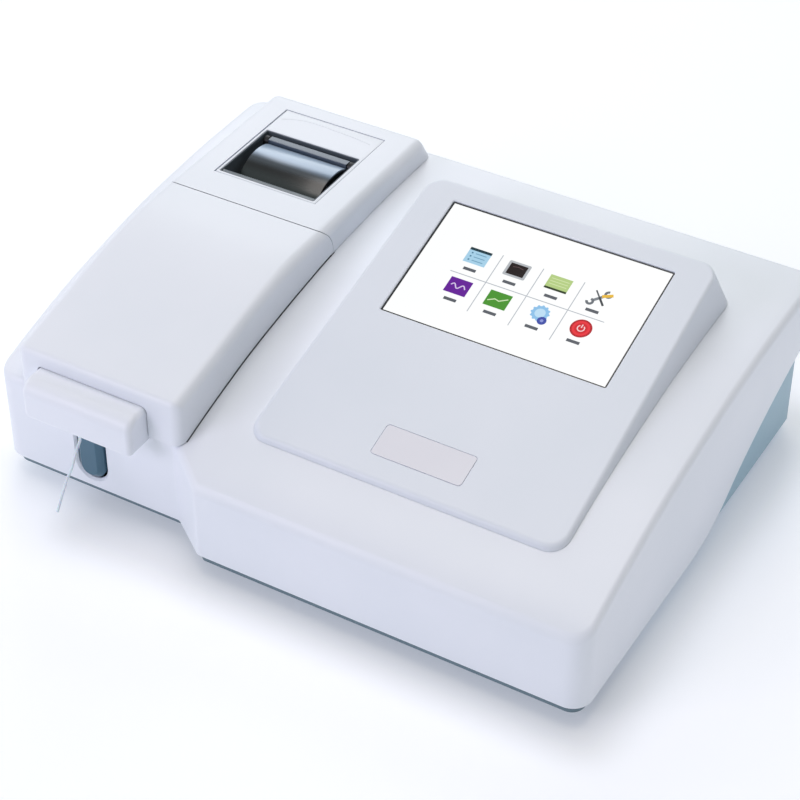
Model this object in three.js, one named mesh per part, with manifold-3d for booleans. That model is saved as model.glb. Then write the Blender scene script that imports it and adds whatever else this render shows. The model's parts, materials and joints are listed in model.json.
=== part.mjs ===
// A benchtop chemistry analyzer: a sloping white casing on a slate base, with a wedge-shaped touch display,
// a hinged lid over the measuring bay, a small printer behind it, and a probe and key on the left front.
// Millimetres, +Z up. X runs to the right, Y to the back, and the origin is on the bench, under the middle.
// A size called a place is a middle's distance from the casing's nearer side: left for what the lid covers and
// what lies before, behind and below it, and right for the display and the electronics.

import * as THREE from 'three';
import { mergeVertices } from 'three/addons/utils/BufferGeometryUtils.js';
import Module from 'manifold-3d';

const wasm = await Module();
wasm.setup();

// Casing. Heights count from the shell's lower edge, and depths from its right front face.
const width = 420;
const depth = 320;
const deckHeight = 104;
const casingWall = 3;
const cornerRadius = 13;
const crease = 4;
const leftSetback = 20;
const leftFrontWidth = 134;
const slantWidth = 27;
const stepRadius = 6;
const sweepHeight = 64;
const baseInset = 6;
const baseDrop = 7;
const baseFloor = 3;
const baseWall = 2.5;
const baseLap = 9;
const baseFrontHeight = 24;
const footHeight = 9;
const footRadius = 9;
const footSpread = 180;
const footFront = 30;
const footBack = 292;

// Clearances between fixed neighbours and round moving pieces, and the overrun of every cut.
const seam = 0.3;
const play = 0.5;
const overrun = 2;

// Bosses that join base and shell, and their screws.
const bossRadius = 5;
const bossSplit = 12;
const bossInset = 22;
const leftBossPlace = 154;
const screwRadius = 1.9;
const screwLength = 26;
const screwHeadRadius = 3.7;
const screwHeadHeight = 2.6;

// The raised module on the left, which the lid and the printer cover share.
const moduleWidth = 120;
const moduleTop = 121;
const modulePlace = 82;
const moduleWall = 2.5;
const moduleEdge = 7;
const moduleBackSlope = 11;
const lidFrontRound = 5;
const lidOverhang = 3;
const lidSeam = 180;
const hingeSetback = 16.7;
const hingeDrop = 21;
const lidGap = 0.4;
const lidLift = 0.7;
const earRadius = 6;
const earThickness = 4.5;
const lugThickness = 3;
const lugWidth = 9;
const lidPinRadius = 2;
const pinCover = 1.5;

// Measuring bay under the lid.
const bayFloorTop = 62.5;
const bayFloor = 2.5;
const bayWall = 3;

// Probe block, probe and aspirate key on the left front.
const blockWidth = 80;
const blockPlace = 78;
const blockBottom = 58;
const blockTop = 84.5;
const blockReach = 21;
const blockWall = 2.5;
const blockEdge = 4;
const blockRound = 10;
const blockFoot = 36;
const probePlace = 75;
const probeRadius = 0.9;
const probeReach = 22;
const probeTip = 14;
const probeInside = 9;
const probeSetback = 6.3;
const keyPlace = 69.5;
const keyWidth = 19;
const keyOpening = 22;
const keyOpeningTop = 57;
const keyOpeningBottom = 6.5;
const keyChamfer = 3.5;
const keyProud = 2.5;
const keyDepth = 14;
const keyPivotHeight = 49;
const keyPivotSetback = 7;
const keyPivotRadius = 2;
const keyTravel = 6;
const openingChamfer = 1.5;
const bracketWall = 2.5;
const bracketDepth = 21;
const bracketBottom = 8;
const switchWidth = 18;
const switchHeight = 10;
const switchFloor = 12;
const keyNotchBottom = 5;

// The display wedge, its screen and its blank name plate.
const displayPlace = 142.25;
const displayWidth = 209.5;
const displayFront = 40;
const displayBack = 269;
const displayTop = 135.4;
const displayTopBack = 254;
const displayTilt = 16.1;
const displaySkin = 2.5;
const displayDraft = 5;
const displayLip = 1.2;
const displayCorner = 12;
const screenWidth = 153.5;
const screenHeight = 95.5;
const screenMargin = 14.4;
const screenModule = 4.5;
const screenRim = 5;
const screenRecess = 1.2;
const plateWidth = 60;
const plateHeight = 22;
const plateThickness = 0.9;
const plateRecess = 0.6;
const plateOffset = 1.5;
const plateDistance = 195;
const cableSlotWidth = 40;
const cableSlotLength = 12;

// Printer, about the middle of its opening in the module's top.
const printerPlace = 80.75;
const printerY = 235.85;
const paperOpeningWidth = 70.5;
const paperOpeningLength = 55.5;
const panelSide = 3.25;
const panelFront = 3;
const panelBack = 28.75;
const bucketWall = 2.5;
const flangeWidth = 4;
const rollRadius = 19;
const rollWidth = 57;
const rollCore = 6;
const rollY = 7.15;
const rollDepth = 37;
const rollSlack = 0.8;
const platenRadius = 5;
const platenLength = 58;
const platenShaft = 2;
const platenY = -22.15;
const platenDepth = 27;
const headThickness = 3.5;
const headHeight = 17;
const archRadius = 31.8;
const archThickness = 1.8;
const archWidth = 60.5;
const archY = 6;
const archDepth = 33;
const archFrontTurn = 152.8;
const archBackTurn = 56;
const axleY = 23.8;
const axleDepth = 5;
const axleRadius = 1.3;
const barrelRadius = 2.6;
const collarRadius = 3.5;
const collarLength = 4;
const tearBarThickness = 2.9;
const tearBarHeight = 5.5;
const tearBarDepth = 1.5;

// Optics, along a light path from the lamp at the back to the detector at the front.
const opticsPlace = 38;
const beamHeight = 34;
const beamRadius = 4;
const plateTop = 4;
const opticsPlate = 3;
const opticsPlateWidth = 64;
const opticsPlateFront = 33;
const opticsPlateBack = 188;
const bulkheadY = 105;
const bulkheadTop = 50;
const holderSize = 36;
const holderY = 75;
const holderTop = 59.5;
const cellSize = 12.5;
const cellBottom = 26;
const cellLength = 38;
const cellSlack = 0.3;
const nippleRadius = 1.2;
const nippleLength = 4;
const detectorWidth = 30;
const detectorDepth = 22;
const detectorHeight = 44;
const wheelRadius = 24;
const wheelThickness = 4;
const wheelY = 134;
const filterCircle = 17;
const filterRadius = 5;
const filterThickness = 3.4;
const wheelHub = 6;
const wheelMotorRadius = 13;
const wheelMotorLength = 20;
const wheelShaft = 2;
const lampHousingWidth = 36;
const lampHousingDepth = 34;
const lampHousingTop = 56;
const lampY = 169;
const lampBulb = 5;
const lampBase = 9;
const lampFlange = 12;
const lampFlangeThickness = 2.2;
const lampLength = 30;
const lensRadius = 6.7;
const lensThickness = 4;
const lensY = 155;

// Peristaltic pump on the bay's floor.
const pumpPlace = 112;
const pumpY = 95;
const pumpOuter = 21;
const pumpTrack = 17;
const pumpHeight = 16;
const pumpFloor = 2.5;
const pumpFront = 24;
const rotorReach = 13.4;
const rotorHub = 8;
const rollerRadius = 3.2;
const rotorHeight = 10;
const tubeRadius = 1.35;
const tubeTurnDrop = 31;
const tubeBend = 5;
const tubeTail = 10;
const pumpMotorRadius = 17;
const pumpMotorLength = 41;
const pumpShaft = 2.5;

// Electronics and the rear.
const boardPlace = 190;
const boardY = 105;
const boardWidth = 130;
const boardLength = 130;
const boardThickness = 1.6;
const boardHeight = 3.7;
const standoffRadius = 3;
const supplyPlace = 68;
const supplyY = 232;
const supplyWidth = 98;
const supplyLength = 95;
const supplyHeight = 38;
const ventDepth = 2;
const ventWidth = 3;
const rearPlace = 147;
const rearWidth = 250;
const rearHeight = 55;
const rearPanel = 1.5;
const rearLap = 5;
const portHeight = 22;
const inletPlace = 50;
const inletWidth = 27;
const inletHeight = 20;
const inletDepth = 20;
const inletLip = 2.2;
const inletFace = 2;
const inletWall = 3.08;
const inletCavityDepth = 15;
const pinWidth = 4;
const pinThickness = 2;
const pinSpacing = 7;
const pinRise = 1.333;
const switchPlace = 90;
const rockerFrameWidth = 20;
const rockerFrameHeight = 26;
const rockerFrameDepth = 16;
const rockerRim = 2;
const rockerTilt = 9;
const rockerHalfHeight = 9.5;
const rockerFront = 6;
const rockerDip = 1.2;
const rockerBack = 3;
const rockerPivotDepth = 4.5;
const rockerAxle = 1.2;
const fanPlace = 150;
const fanZ = 26;
const fanSize = 50;
const fanDepth = 15;
const fanBore = 23;
const fanHub = 9;
const fanBladeReach = 22;
const fanStrut = 2.4;
const fanPlate = 2;
const fanAxle = 1.5;
const fanBladeThickness = 1.2;
const fanBladeDepth = 8;
const fanBladePitch = 35;
const grilleSlot = 3.4;
const serialPlace = 210;
const serialWidth = 31;
const serialHeight = 12.5;
const serialPlugWidth = 17;
const serialPlugHeight = 8.6;
const serialWall = 0.9;
const serialProud = 6;
const serialDepth = 10;
const serialFlange = 1;
const fittingPlace = 250;
const fittingRadius = 6;
const fittingBore = 1.5;
const fittingLength = 12;
const fittingFlange = 3;

// Outlines as shares of the sizes that they follow, and the number of parts of what repeats.
const deckShares = [
  [0, 0.505], [0.02, 0.55], [0.056, 0.601], [0.131, 0.678], [0.206, 0.745], [0.291, 0.8125], [0.406, 0.88],
  [0.516, 0.933], [0.594, 0.9615], [0.75, 0.993], [0.8625, 1], [1, 1],
];
const sweepShares = [
  [0.46, 0], [0.53, 0.05], [0.59, 0.18], [0.66, 0.39], [0.75, 0.6], [0.84, 0.77], [0.94, 0.93], [1, 1],
];
const lidTopShares = [
  [0.91, 1], [0.8, 0.997], [0.69, 0.983], [0.564, 0.955], [0.43, 0.917], [0.294, 0.873], [0.15, 0.829],
];
const lidFrontShare = 0.783;
const probeShares = [[0, 0], [0.01, 0.17], [0.16, 0.29], [0.37, 0.5], [0.6, 0.64], [1, 1]];
const filterCount = 6;
const bladeCount = 7;
const rollerCount = 3;
const ventCount = 7;
const chipShares = [
  [-0.62, 0.55, 0.34, 0.3], [0.1, 0.35, 0.42, 0.42], [0.55, -0.5, 0.3, 0.5], [-0.45, -0.45, 0.5, 0.2],
];
const slotCount = 6;
const roundSides = 24;
const edgeSteps = 3;
const smallSides = 12;
const tubeSides = 8;
const probeSteps = 18;
const pumpTubeSteps = 44;

// Middles of what stands across the casing, from its own middle.
const half = width / 2;
const leftBossX = leftBossPlace - half;
const moduleX = modulePlace - half;
const blockX = blockPlace - half;
const probeX = probePlace - half;
const keyX = keyPlace - half;
const printerX = printerPlace - half;
const opticsX = opticsPlace - half;
const pumpX = pumpPlace - half;
const displayX = half - displayPlace;
const boardX = half - boardPlace;
const supplyX = half - supplyPlace;
const rearX = half - rearPlace;
const inletX = half - inletPlace;
const switchX = half - switchPlace;
const fanX = half - fanPlace;
const serialX = half - serialPlace;
const fittingX = half - fittingPlace;

// Shapes. Every solid is a closed geometry, and cuts and joins are made on its manifold-3d twin.
const towardsX = new THREE.Matrix4().makeBasis(
  new THREE.Vector3(0, 1, 0), new THREE.Vector3(0, 0, 1), new THREE.Vector3(1, 0, 0));
const towardsY = new THREE.Matrix4().makeBasis(
  new THREE.Vector3(1, 0, 0), new THREE.Vector3(0, 0, 1), new THREE.Vector3(0, -1, 0));

function solid(geometry) {
  const bare = geometry.clone();
  bare.deleteAttribute('normal');
  bare.deleteAttribute('uv');
  const merged = mergeVertices(bare);
  const corners = merged.index.array;
  const triangles = [];
  for (let i = 0; i < corners.length; i += 3) {
    const [a, b, c] = [corners[i], corners[i + 1], corners[i + 2]];
    if (a !== b && b !== c && c !== a) triangles.push(a, b, c);
  }
  return new wasm.Manifold(new wasm.Mesh({
    numProp: 3,
    vertProperties: merged.attributes.position.array,
    triVerts: new Uint32Array(triangles),
  }));
}

function geometryOf(shape) {
  const mesh = shape.getMesh();
  const geometry = new THREE.BufferGeometry();
  geometry.setAttribute('position', new THREE.BufferAttribute(mesh.vertProperties, 3));
  geometry.setIndex(new THREE.BufferAttribute(mesh.triVerts, 1));
  const faceted = geometry.toNonIndexed();
  faceted.computeVertexNormals();
  return faceted;
}

// Corners [x, y, radius] pushed straight, with the end edges rounded by a radius if one is given.
function push(corners, length, edge = 0) {
  const flat = corners.map(([a, b]) => new THREE.Vector2(a, b));
  const outline = THREE.ShapeUtils.area(flat) > 0 ? corners : corners.slice().reverse();
  if (edge === 0) {
    const shape = new THREE.Shape(rounded(outline).map(([a, b]) => new THREE.Vector2(a, b)));
    return new THREE.ExtrudeGeometry(shape, { depth: length, bevelEnabled: false });
  }
  const stations = [];
  for (let step = 0; step <= edgeSteps; step++) {
    const turn = Math.PI / 2 * step / edgeSteps;
    stations.push([edge * (1 - Math.sin(turn)), edge * (1 - Math.cos(turn))]);
  }
  const far = stations.map(([along, distance]) => [length - along, distance]);
  return loft([...stations.slice().reverse(), ...far].map(([along, distance]) =>
    rounded(inset(outline, distance)).map(([a, b]) => new THREE.Vector3(a, b, along))));
}

function prismX(corners, from, to, edge = 0) {
  return solid(push(corners, to - from, edge).applyMatrix4(towardsX).translate(from, 0, 0));
}

function prismY(corners, from, to, edge = 0) {
  return solid(push(corners, to - from, edge).applyMatrix4(towardsY).translate(0, to, 0));
}

function prismZ(corners, from, to) {
  return solid(push(corners, to - from).translate(0, 0, from));
}

function boxed([x0, x1], [y0, y1], [z0, z1]) {
  return new THREE.BoxGeometry(x1 - x0, y1 - y0, z1 - z0)
    .translate((x0 + x1) / 2, (y0 + y1) / 2, (z0 + z1) / 2);
}

function block(xs, ys, zs) {
  return solid(boxed(xs, ys, zs));
}

function rodX(radius, from, to, y, z, sides = roundSides) {
  const geometry = new THREE.CylinderGeometry(radius, radius, to - from, sides).rotateZ(-Math.PI / 2);
  return solid(geometry.translate((from + to) / 2, y, z));
}

function rodY(radius, from, to, x, z, sides = roundSides) {
  const geometry = new THREE.CylinderGeometry(radius, radius, to - from, sides);
  return solid(geometry.translate(x, (from + to) / 2, z));
}

function rodZ(radius, from, to, x, y, sides = roundSides) {
  const geometry = new THREE.CylinderGeometry(radius, radius, to - from, sides).rotateX(Math.PI / 2);
  return solid(geometry.translate(x, y, (from + to) / 2));
}

// A round tube along a path.
function tubeAlong(path, radius, steps) {
  const section = new THREE.Shape();
  section.absarc(0, 0, radius, 0, Math.PI * 2);
  return solid(new THREE.ExtrudeGeometry(section, { curveSegments: tubeSides / 2, steps, extrudePath: path }));
}

// A profile of radius and height turned about Z.
function turned(profile, sides = roundSides) {
  const points = profile.map(([radius, height]) => new THREE.Vector2(radius, height));
  return solid(new THREE.LatheGeometry(points, sides).rotateX(Math.PI / 2));
}

function joined(shapes) {
  return shapes.reduce((whole, shape) => whole.add(shape));
}

function cutBy(shape, cutters) {
  return cutters.reduce((left, cutter) => left.subtract(cutter), shape);
}

// Corners [x, y, radius] rounded by arcs of as many points each; a corner with no radius stays sharp.
function rounded(corners, steps = 4) {
  const points = [];
  corners.forEach(([x, y, radius = 0], i) => {
    if (radius === 0) {
      points.push([x, y]);
      return;
    }
    const corner = new THREE.Vector2(x, y);
    const before = corners[(i + corners.length - 1) % corners.length];
    const after = corners[(i + 1) % corners.length];
    const back = new THREE.Vector2(before[0], before[1]).sub(corner).normalize();
    const ahead = new THREE.Vector2(after[0], after[1]).sub(corner).normalize();
    const half = Math.acos(back.dot(ahead)) / 2;
    const middle = back.clone().add(ahead).normalize().multiplyScalar(radius / Math.sin(half));
    const centre = corner.clone().add(middle);
    const start = corner.clone().add(back.multiplyScalar(radius / Math.tan(half))).sub(centre);
    const end = corner.clone().add(ahead.multiplyScalar(radius / Math.tan(half))).sub(centre);
    const turn = Math.atan2(start.cross(end), start.dot(end));
    for (let step = 0; step <= steps; step++) {
      const point = start.clone().rotateAround(new THREE.Vector2(), turn * step / steps).add(centre);
      points.push([point.x, point.y]);
    }
  });
  return points;
}

// Corners listed counter-clockwise, moved inwards; outer corners get tighter and inner ones wider.
function inset(corners, distance) {
  const count = corners.length;
  return corners.map(([x, y, radius = 0], i) => {
    const [px, py] = corners[(i + count - 1) % count];
    const [nx, ny] = corners[(i + 1) % count];
    const inLength = Math.hypot(x - px, y - py);
    const outLength = Math.hypot(nx - x, ny - y);
    const [ax, ay] = [(x - px) / inLength, (y - py) / inLength];
    const [bx, by] = [(nx - x) / outLength, (ny - y) / outLength];
    const turn = ax * by - ay * bx;
    const spread = distance / (1 + ax * bx + ay * by);
    const next = radius === 0 ? 0 : Math.max(radius - Math.sign(turn) * distance, seam);
    return [x - (ay + by) * spread, y + (ax + bx) * spread, next];
  });
}

// A closed skin through rings of the same number of points, counter-clockwise from above, lowest first.
function loft(rings) {
  const count = rings[0].length;
  const corners = [];
  const quad = (a, b, c, d) => corners.push(a, b, c, a, c, d);
  for (let level = 1; level < rings.length; level++) {
    for (let i = 0; i < count; i++) {
      const next = (i + 1) % count;
      quad(rings[level - 1][i], rings[level - 1][next], rings[level][next], rings[level][i]);
    }
  }
  const caps = [[rings[0], true], [rings[rings.length - 1], false]];
  for (const [ring, down] of caps) {
    const flat = ring.map((point) => new THREE.Vector2(point.x, point.y));
    for (const [a, b, c] of THREE.ShapeUtils.triangulateShape(flat, [])) {
      corners.push(ring[a], ring[down ? c : b], ring[down ? b : c]);
    }
  }
  return new THREE.BufferGeometry().setFromPoints(corners);
}

function look(color, roughness, metalness = 0) {
  return new THREE.MeshStandardMaterial({ color, roughness, metalness });
}

function part(parent, name, shape, material) {
  const mesh = new THREE.Mesh(geometryOf(shape), material);
  mesh.name = name;
  parent.add(mesh);
  return mesh;
}

const radians = THREE.MathUtils.degToRad;
const whiteShell = look('#e7ebf1', 0.45);
const whiteModule = look('#e9edf3', 0.42);
const paleBezel = look('#d7dee6', 0.45);
const slateBase = look('#4f6b7d', 0.6);
const slateKey = look('#44707f', 0.4);
const smokedPlastic = look('#161d24', 0.12);
const blackPlastic = look('#1c1f22', 0.5);
const greyPlastic = look('#8d949b', 0.5);
const darkRubber = look('#26282b', 0.85);
const screenGlass = look('#f4f6f8', 0.1);
const steel = look('#b9bec4', 0.3, 1);
const aluminium = look('#a9aeb4', 0.4, 1);
const brass = look('#b58a3f', 0.35, 1);
const boardGreen = look('#1f5a3c', 0.6);
const paper = look('#f3f3ee', 0.9);
const clearGlass = look('#cfe3ea', 0.05);
const filterGlass = look('#5b3f7c', 0.1);
const siliconeTube = look('#e4e0d2', 0.4);
const ptfe = look('#eef2f4', 0.35);

// Frames. Everything is placed in the casing's own frame, and the casing stands on its feet.
const analyzer = new THREE.Group();
const casing = new THREE.Group();
casing.position.z = baseDrop + footHeight;
analyzer.add(casing);

// Deck and sweep, as heights above the shell's lower edge.
function spline(shares, along, up, count) {
  const points = shares.map(([a, b]) => new THREE.Vector2(a * along, b * up));
  return new THREE.SplineCurve(points).getPoints(count).map((point) => [point.x, point.y]);
}

const deckLine = spline(deckShares, depth, deckHeight, 18);

function deckAt(y) {
  const next = Math.max(1, deckLine.findIndex(([at]) => at >= y));
  const [[y0, z0], [y1, z1]] = [deckLine[next - 1], deckLine[next]];
  return z0 + (z1 - z0) * Math.min(1, Math.max(0, (y - y0) / (y1 - y0)));
}

// The space under the deck line, moved up or down, from a floor far below.
function underDeck(rise, from, to, edge = 0) {
  const low = -baseDrop - footHeight - edge;
  const front = deckLine[0][1] + rise;
  const back = deckLine[deckLine.length - 1][1] + rise;
  const line = deckLine.map(([y, z]) => [y, z + rise]);
  const reach = overrun + edge;
  const ends = [[-reach, low], [depth + reach, low], [depth + reach, back]];
  return prismX([...ends, ...line.reverse(), [-reach, front]], from, to, edge);
}

// The casing's outline from above, moved inwards.
function plan(distance) {
  const corners = [
    [-half, leftSetback, cornerRadius],
    [-half + leftFrontWidth, leftSetback, stepRadius],
    [-half + leftFrontWidth + slantWidth, 0, stepRadius],
    [half, 0, cornerRadius],
    [half, depth, cornerRadius],
    [-half, depth, cornerRadius],
  ];
  return inset(corners, distance);
}

// The space under the swept lower edge of the casing's sides and back.
function underSweep(rise, from, to) {
  const line = spline(sweepShares, depth, sweepHeight, 8).map(([y, z]) => [y, z + rise]);
  const start = line[0][0];
  const low = -baseDrop - overrun;
  return prismX([[start, low], [depth + overrun, low], [depth + overrun, line[line.length - 1][1]],
    ...line.reverse()], from, to);
}

// Main shell: one moulding of deck, sides, fronts and the upper back.
const bossPlaces = [
  [half - bossInset, bossInset + overrun * 4],
  [half - bossInset, depth - bossInset],
  [-half + bossInset, depth - bossInset],
  [leftBossX, leftSetback + bossInset - bossRadius],
];
const bayWidth = moduleWidth + play * 2;
const bayFront = leftSetback + casingWall;
const hingeY = lidSeam - hingeSetback;
const hingeZ = moduleTop - hingeDrop;
const curlRadius = Math.hypot(hingeSetback, hingeDrop);
const bayBack = hingeY + curlRadius + play * 2;
const bucketHalfWidth = paperOpeningWidth / 2 + bucketWall;
const bucketHalfLength = paperOpeningLength / 2 + bucketWall;
const high = deckHeight + displayTop;

function around(centre, halfSize) {
  return [centre - halfSize, centre + halfSize];
}

// A key-shaped outline: straight sides, flat top and round bottom.
function keyOutline(outlineWidth, bottom, top) {
  const radius = outlineWidth / 2;
  const points = [[radius, top], [-radius, top]];
  for (let step = 0; step <= smallSides; step++) {
    const turn = Math.PI * (1 + step / smallSides);
    points.push([radius * Math.cos(turn), bottom + radius + radius * Math.sin(turn)]);
  }
  return points;
}

function keyOpeningCut() {
  const shape = new THREE.Shape(
    keyOutline(keyOpening, keyOpeningBottom, keyOpeningTop).map(([a, b]) => new THREE.Vector2(a, b)));
  const flared = new THREE.ExtrudeGeometry(shape, {
    depth: casingWall + overrun,
    bevelEnabled: true,
    bevelThickness: openingChamfer,
    bevelSize: -openingChamfer,
    bevelOffset: openingChamfer,
    bevelSegments: 1,
  });
  const back = leftSetback - seam + openingChamfer + casingWall + overrun;
  return solid(flared.applyMatrix4(towardsY).translate(keyX, back, 0));
}

function mainShell() {
  const outer = prismZ(plan(0), 0, high).intersect(underDeck(0, -half, half, crease));
  const inner = prismZ(plan(casingWall), -overrun, high)
    .intersect(underDeck(-casingWall, -half + casingWall, half - casingWall, crease));
  const hollow = cutBy(outer, [
    inner,
    underSweep(0, -half - overrun, half + overrun),
    block(around(moduleX, bayWidth / 2), [bayFront, bayBack], [bayFloorTop - bayFloor - overrun, high]),
    block(around(printerX, bucketHalfWidth + play), around(printerY, bucketHalfLength + play), [0, high]),
    block(around(displayX, cableSlotWidth / 2), around(displayTopBack - cableSlotLength, cableSlotLength / 2),
      [0, high]),
    keyOpeningCut(),
  ]);
  const underside = underDeck(-casingWall / 2, -half, half);
  const bosses = bossPlaces.map(([x, y]) => rodZ(bossRadius, bossSplit, high, x, y, smallSides)
    .intersect(underside)
    .subtract(rodZ(screwRadius + seam, bossSplit - overrun, bossSplit + screwLength, x, y, smallSides)));
  return joined([hollow, ...bosses]);
}

part(casing, 'main_shell', mainShell(), whiteShell);

// Base tray: a tub inside the shell's edge, seen below it at the front and under the sweep.
const supplyFoot = -baseDrop + baseFloor;
const boardPosts = [-1, 1].flatMap((i) => [-1, 1].map((j) => [
  boardX + i * (boardWidth / 2 - standoffRadius * 2), boardY + j * (boardLength / 2 - standoffRadius * 2)]));
const opticsMiddle = opticsX + opticsPlateWidth / 2 - holderSize / 2 - overrun;
const opticsPosts = [-1, 1].flatMap((i) => [opticsPlateFront, opticsPlateBack].map((y, j) => [
  opticsMiddle + i * (opticsPlateWidth / 2 - standoffRadius * 2), y + (1 - 2 * j) * standoffRadius * 2]));
const supplyPosts = [-1, 1].flatMap((i) => [-1, 1].map((j) => [
  supplyX + i * (supplyWidth / 2 - standoffRadius * 2),
  supplyY + j * (supplyLength / 2 - standoffRadius * 2)]));
const rearInside = depth - baseInset - baseWall;

function baseTray() {
  const tub = prismZ(plan(baseInset), -baseDrop, high);
  const room = prismZ(plan(baseInset + baseWall), supplyFoot, high + overrun);
  const line = spline(sweepShares, depth, sweepHeight, 8)
    .map(([y, z]) => [y, Math.max(z + baseLap, baseFrontHeight)]);
  const above = prismX([[-overrun, baseFrontHeight], ...line, [depth + overrun, line[line.length - 1][1]],
    [depth + overrun, high + overrun], [-overrun, high + overrun]], -half, half);
  const rearCut = block(around(rearX, rearWidth / 2 - rearLap), [rearInside - overrun, depth], [0, rearHeight]);
  const posts = (places, radius, top) => places.map(([x, y]) =>
    rodZ(radius, -baseDrop + baseFloor / 2, top - seam, x, y, smallSides));
  const screwHoles = bossPlaces.flatMap(([x, y]) => [
    rodZ(screwRadius + seam, -baseDrop - overrun, bossSplit + overrun, x, y, smallSides),
    rodZ(screwHeadRadius + seam, -baseDrop - overrun, -baseDrop + screwHeadHeight + seam, x, y, smallSides),
  ]);
  const keyNotch = block(around(keyX, keyOpening / 2 + bracketWall + play),
    [0, leftSetback + baseInset + baseWall + overrun], [keyNotchBottom, high]);
  const walls = cutBy(tub, [room, above, rearCut, keyNotch]);
  const whole = joined([
    walls,
    ...posts(bossPlaces, bossRadius + overrun, bossSplit),
    ...posts(boardPosts, standoffRadius, boardHeight),
    ...posts(opticsPosts, standoffRadius, plateTop - opticsPlate),
    ...posts(supplyPosts, standoffRadius, supplyFoot + baseFloor),
  ]);
  return cutBy(whole, screwHoles);
}

part(casing, 'base_tray', baseTray(), slateBase);

bossPlaces.forEach(([x, y], i) => {
  const top = screwHeadHeight;
  const shape = turned([[0, 0], [screwHeadRadius, 0], [screwHeadRadius, top], [screwRadius, top],
    [screwRadius, screwLength], [0, screwLength]], smallSides);
  part(casing, `case_screw_${i + 1}`, shape, steel).position.set(x, y, -baseDrop);
});

const footPlaces = [
  ['foot_front_left', -footSpread, leftSetback + footFront],
  ['foot_front_right', footSpread, footFront],
  ['foot_rear_left', -footSpread, footBack - bossInset],
  ['foot_rear_right', footSpread, footBack - bossInset],
];
for (const [name, x, y] of footPlaces) {
  const height = footHeight - seam;
  const shape = turned([[0, 0], [footRadius - seam * 4, 0], [footRadius, seam * 4], [footRadius, height],
    [0, height]]);
  part(casing, name, shape, darkRubber).position.set(x, y, -baseDrop - footHeight);
}

// The raised module: one rounded form, parted by an arc about the lid's hinge.
const lidFront = leftSetback - lidOverhang;
const moduleBack = depth - lidOverhang;

function moduleForm(distance) {
  const low = bayFloorTop - moduleEdge * 2;
  const corners = [
    [lidFront, low],
    [moduleBack, low],
    [moduleBack, deckHeight],
    [moduleBack - moduleBackSlope, moduleTop, moduleEdge],
    ...lidTopShares.map(([y, z]) => [lidFront + y * (lidSeam - lidFront), z * moduleTop]),
    [lidFront, lidFrontShare * moduleTop, lidFrontRound],
  ];
  const reach = moduleWidth / 2 - distance;
  return prismX(inset(corners, distance), moduleX - reach, moduleX + reach, moduleEdge - distance);
}

function aboutHinge(radius, from, to, margin = 0) {
  return rodX(radius, from - margin, to + margin, hingeY, hingeZ, roundSides * 2);
}

const moduleSides = around(moduleX, moduleWidth / 2);
const lidSpace = (radius) => joined([
  aboutHinge(radius, ...moduleSides, overrun),
  block(around(moduleX, moduleWidth / 2 + overrun), [-depth, hingeY], [0, high]),
]);
const aboveDeck = (shape, rise) => shape.subtract(
  underDeck(rise, moduleX - moduleWidth / 2 - overrun, moduleX + moduleWidth / 2 + overrun));

function sampleLid() {
  const shell = moduleForm(0).subtract(moduleForm(moduleWall));
  const curl = aboutHinge(curlRadius, ...moduleSides).subtract(
    aboutHinge(curlRadius - moduleWall, ...around(moduleX, moduleWidth / 2 - moduleWall)));
  const rear = curl.intersect(moduleForm(0)).intersect(block(moduleSides, [hingeY, depth], [0, high]));
  const skin = aboveDeck(joined([shell.intersect(lidSpace(curlRadius)), rear]), lidLift);
  const ears = [];
  const bores = [];
  for (const side of [-1, 1]) {
    const outer = moduleX + side * moduleWidth / 2;
    const inner = outer - side * earThickness;
    const blind = outer - side * (pinCover - seam);
    const [from, to] = [Math.min(outer, inner), Math.max(outer, inner)];
    ears.push(rodX(earRadius, from, to, hingeY, hingeZ).intersect(moduleForm(0)));
    ears.push(block([from, to], around(hingeY, earRadius), [hingeZ, moduleTop - moduleWall])
      .intersect(moduleForm(0)));
    const mouth = inner - side * overrun;
    bores.push(rodX(lidPinRadius + seam, Math.min(mouth, blind), Math.max(mouth, blind),
      hingeY, hingeZ, smallSides));
  }
  const notch = block(around(blockX, blockWidth / 2 + play), [-depth, leftSetback + play],
    [0, blockTop + play]);
  return cutBy(joined([skin, ...ears]), [...bores, notch]);
}

part(casing, 'sample_lid', sampleLid(), whiteModule);
for (const [name, side] of [['lid_pin_left', -1], ['lid_pin_right', 1]]) {
  const outer = moduleX + side * (moduleWidth / 2 - pinCover);
  const inner = moduleX + side * (moduleWidth / 2 - earThickness - play - lugThickness);
  part(casing, name, rodX(lidPinRadius, Math.min(outer, inner), Math.max(outer, inner),
    hingeY, hingeZ, smallSides), steel);
}

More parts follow.
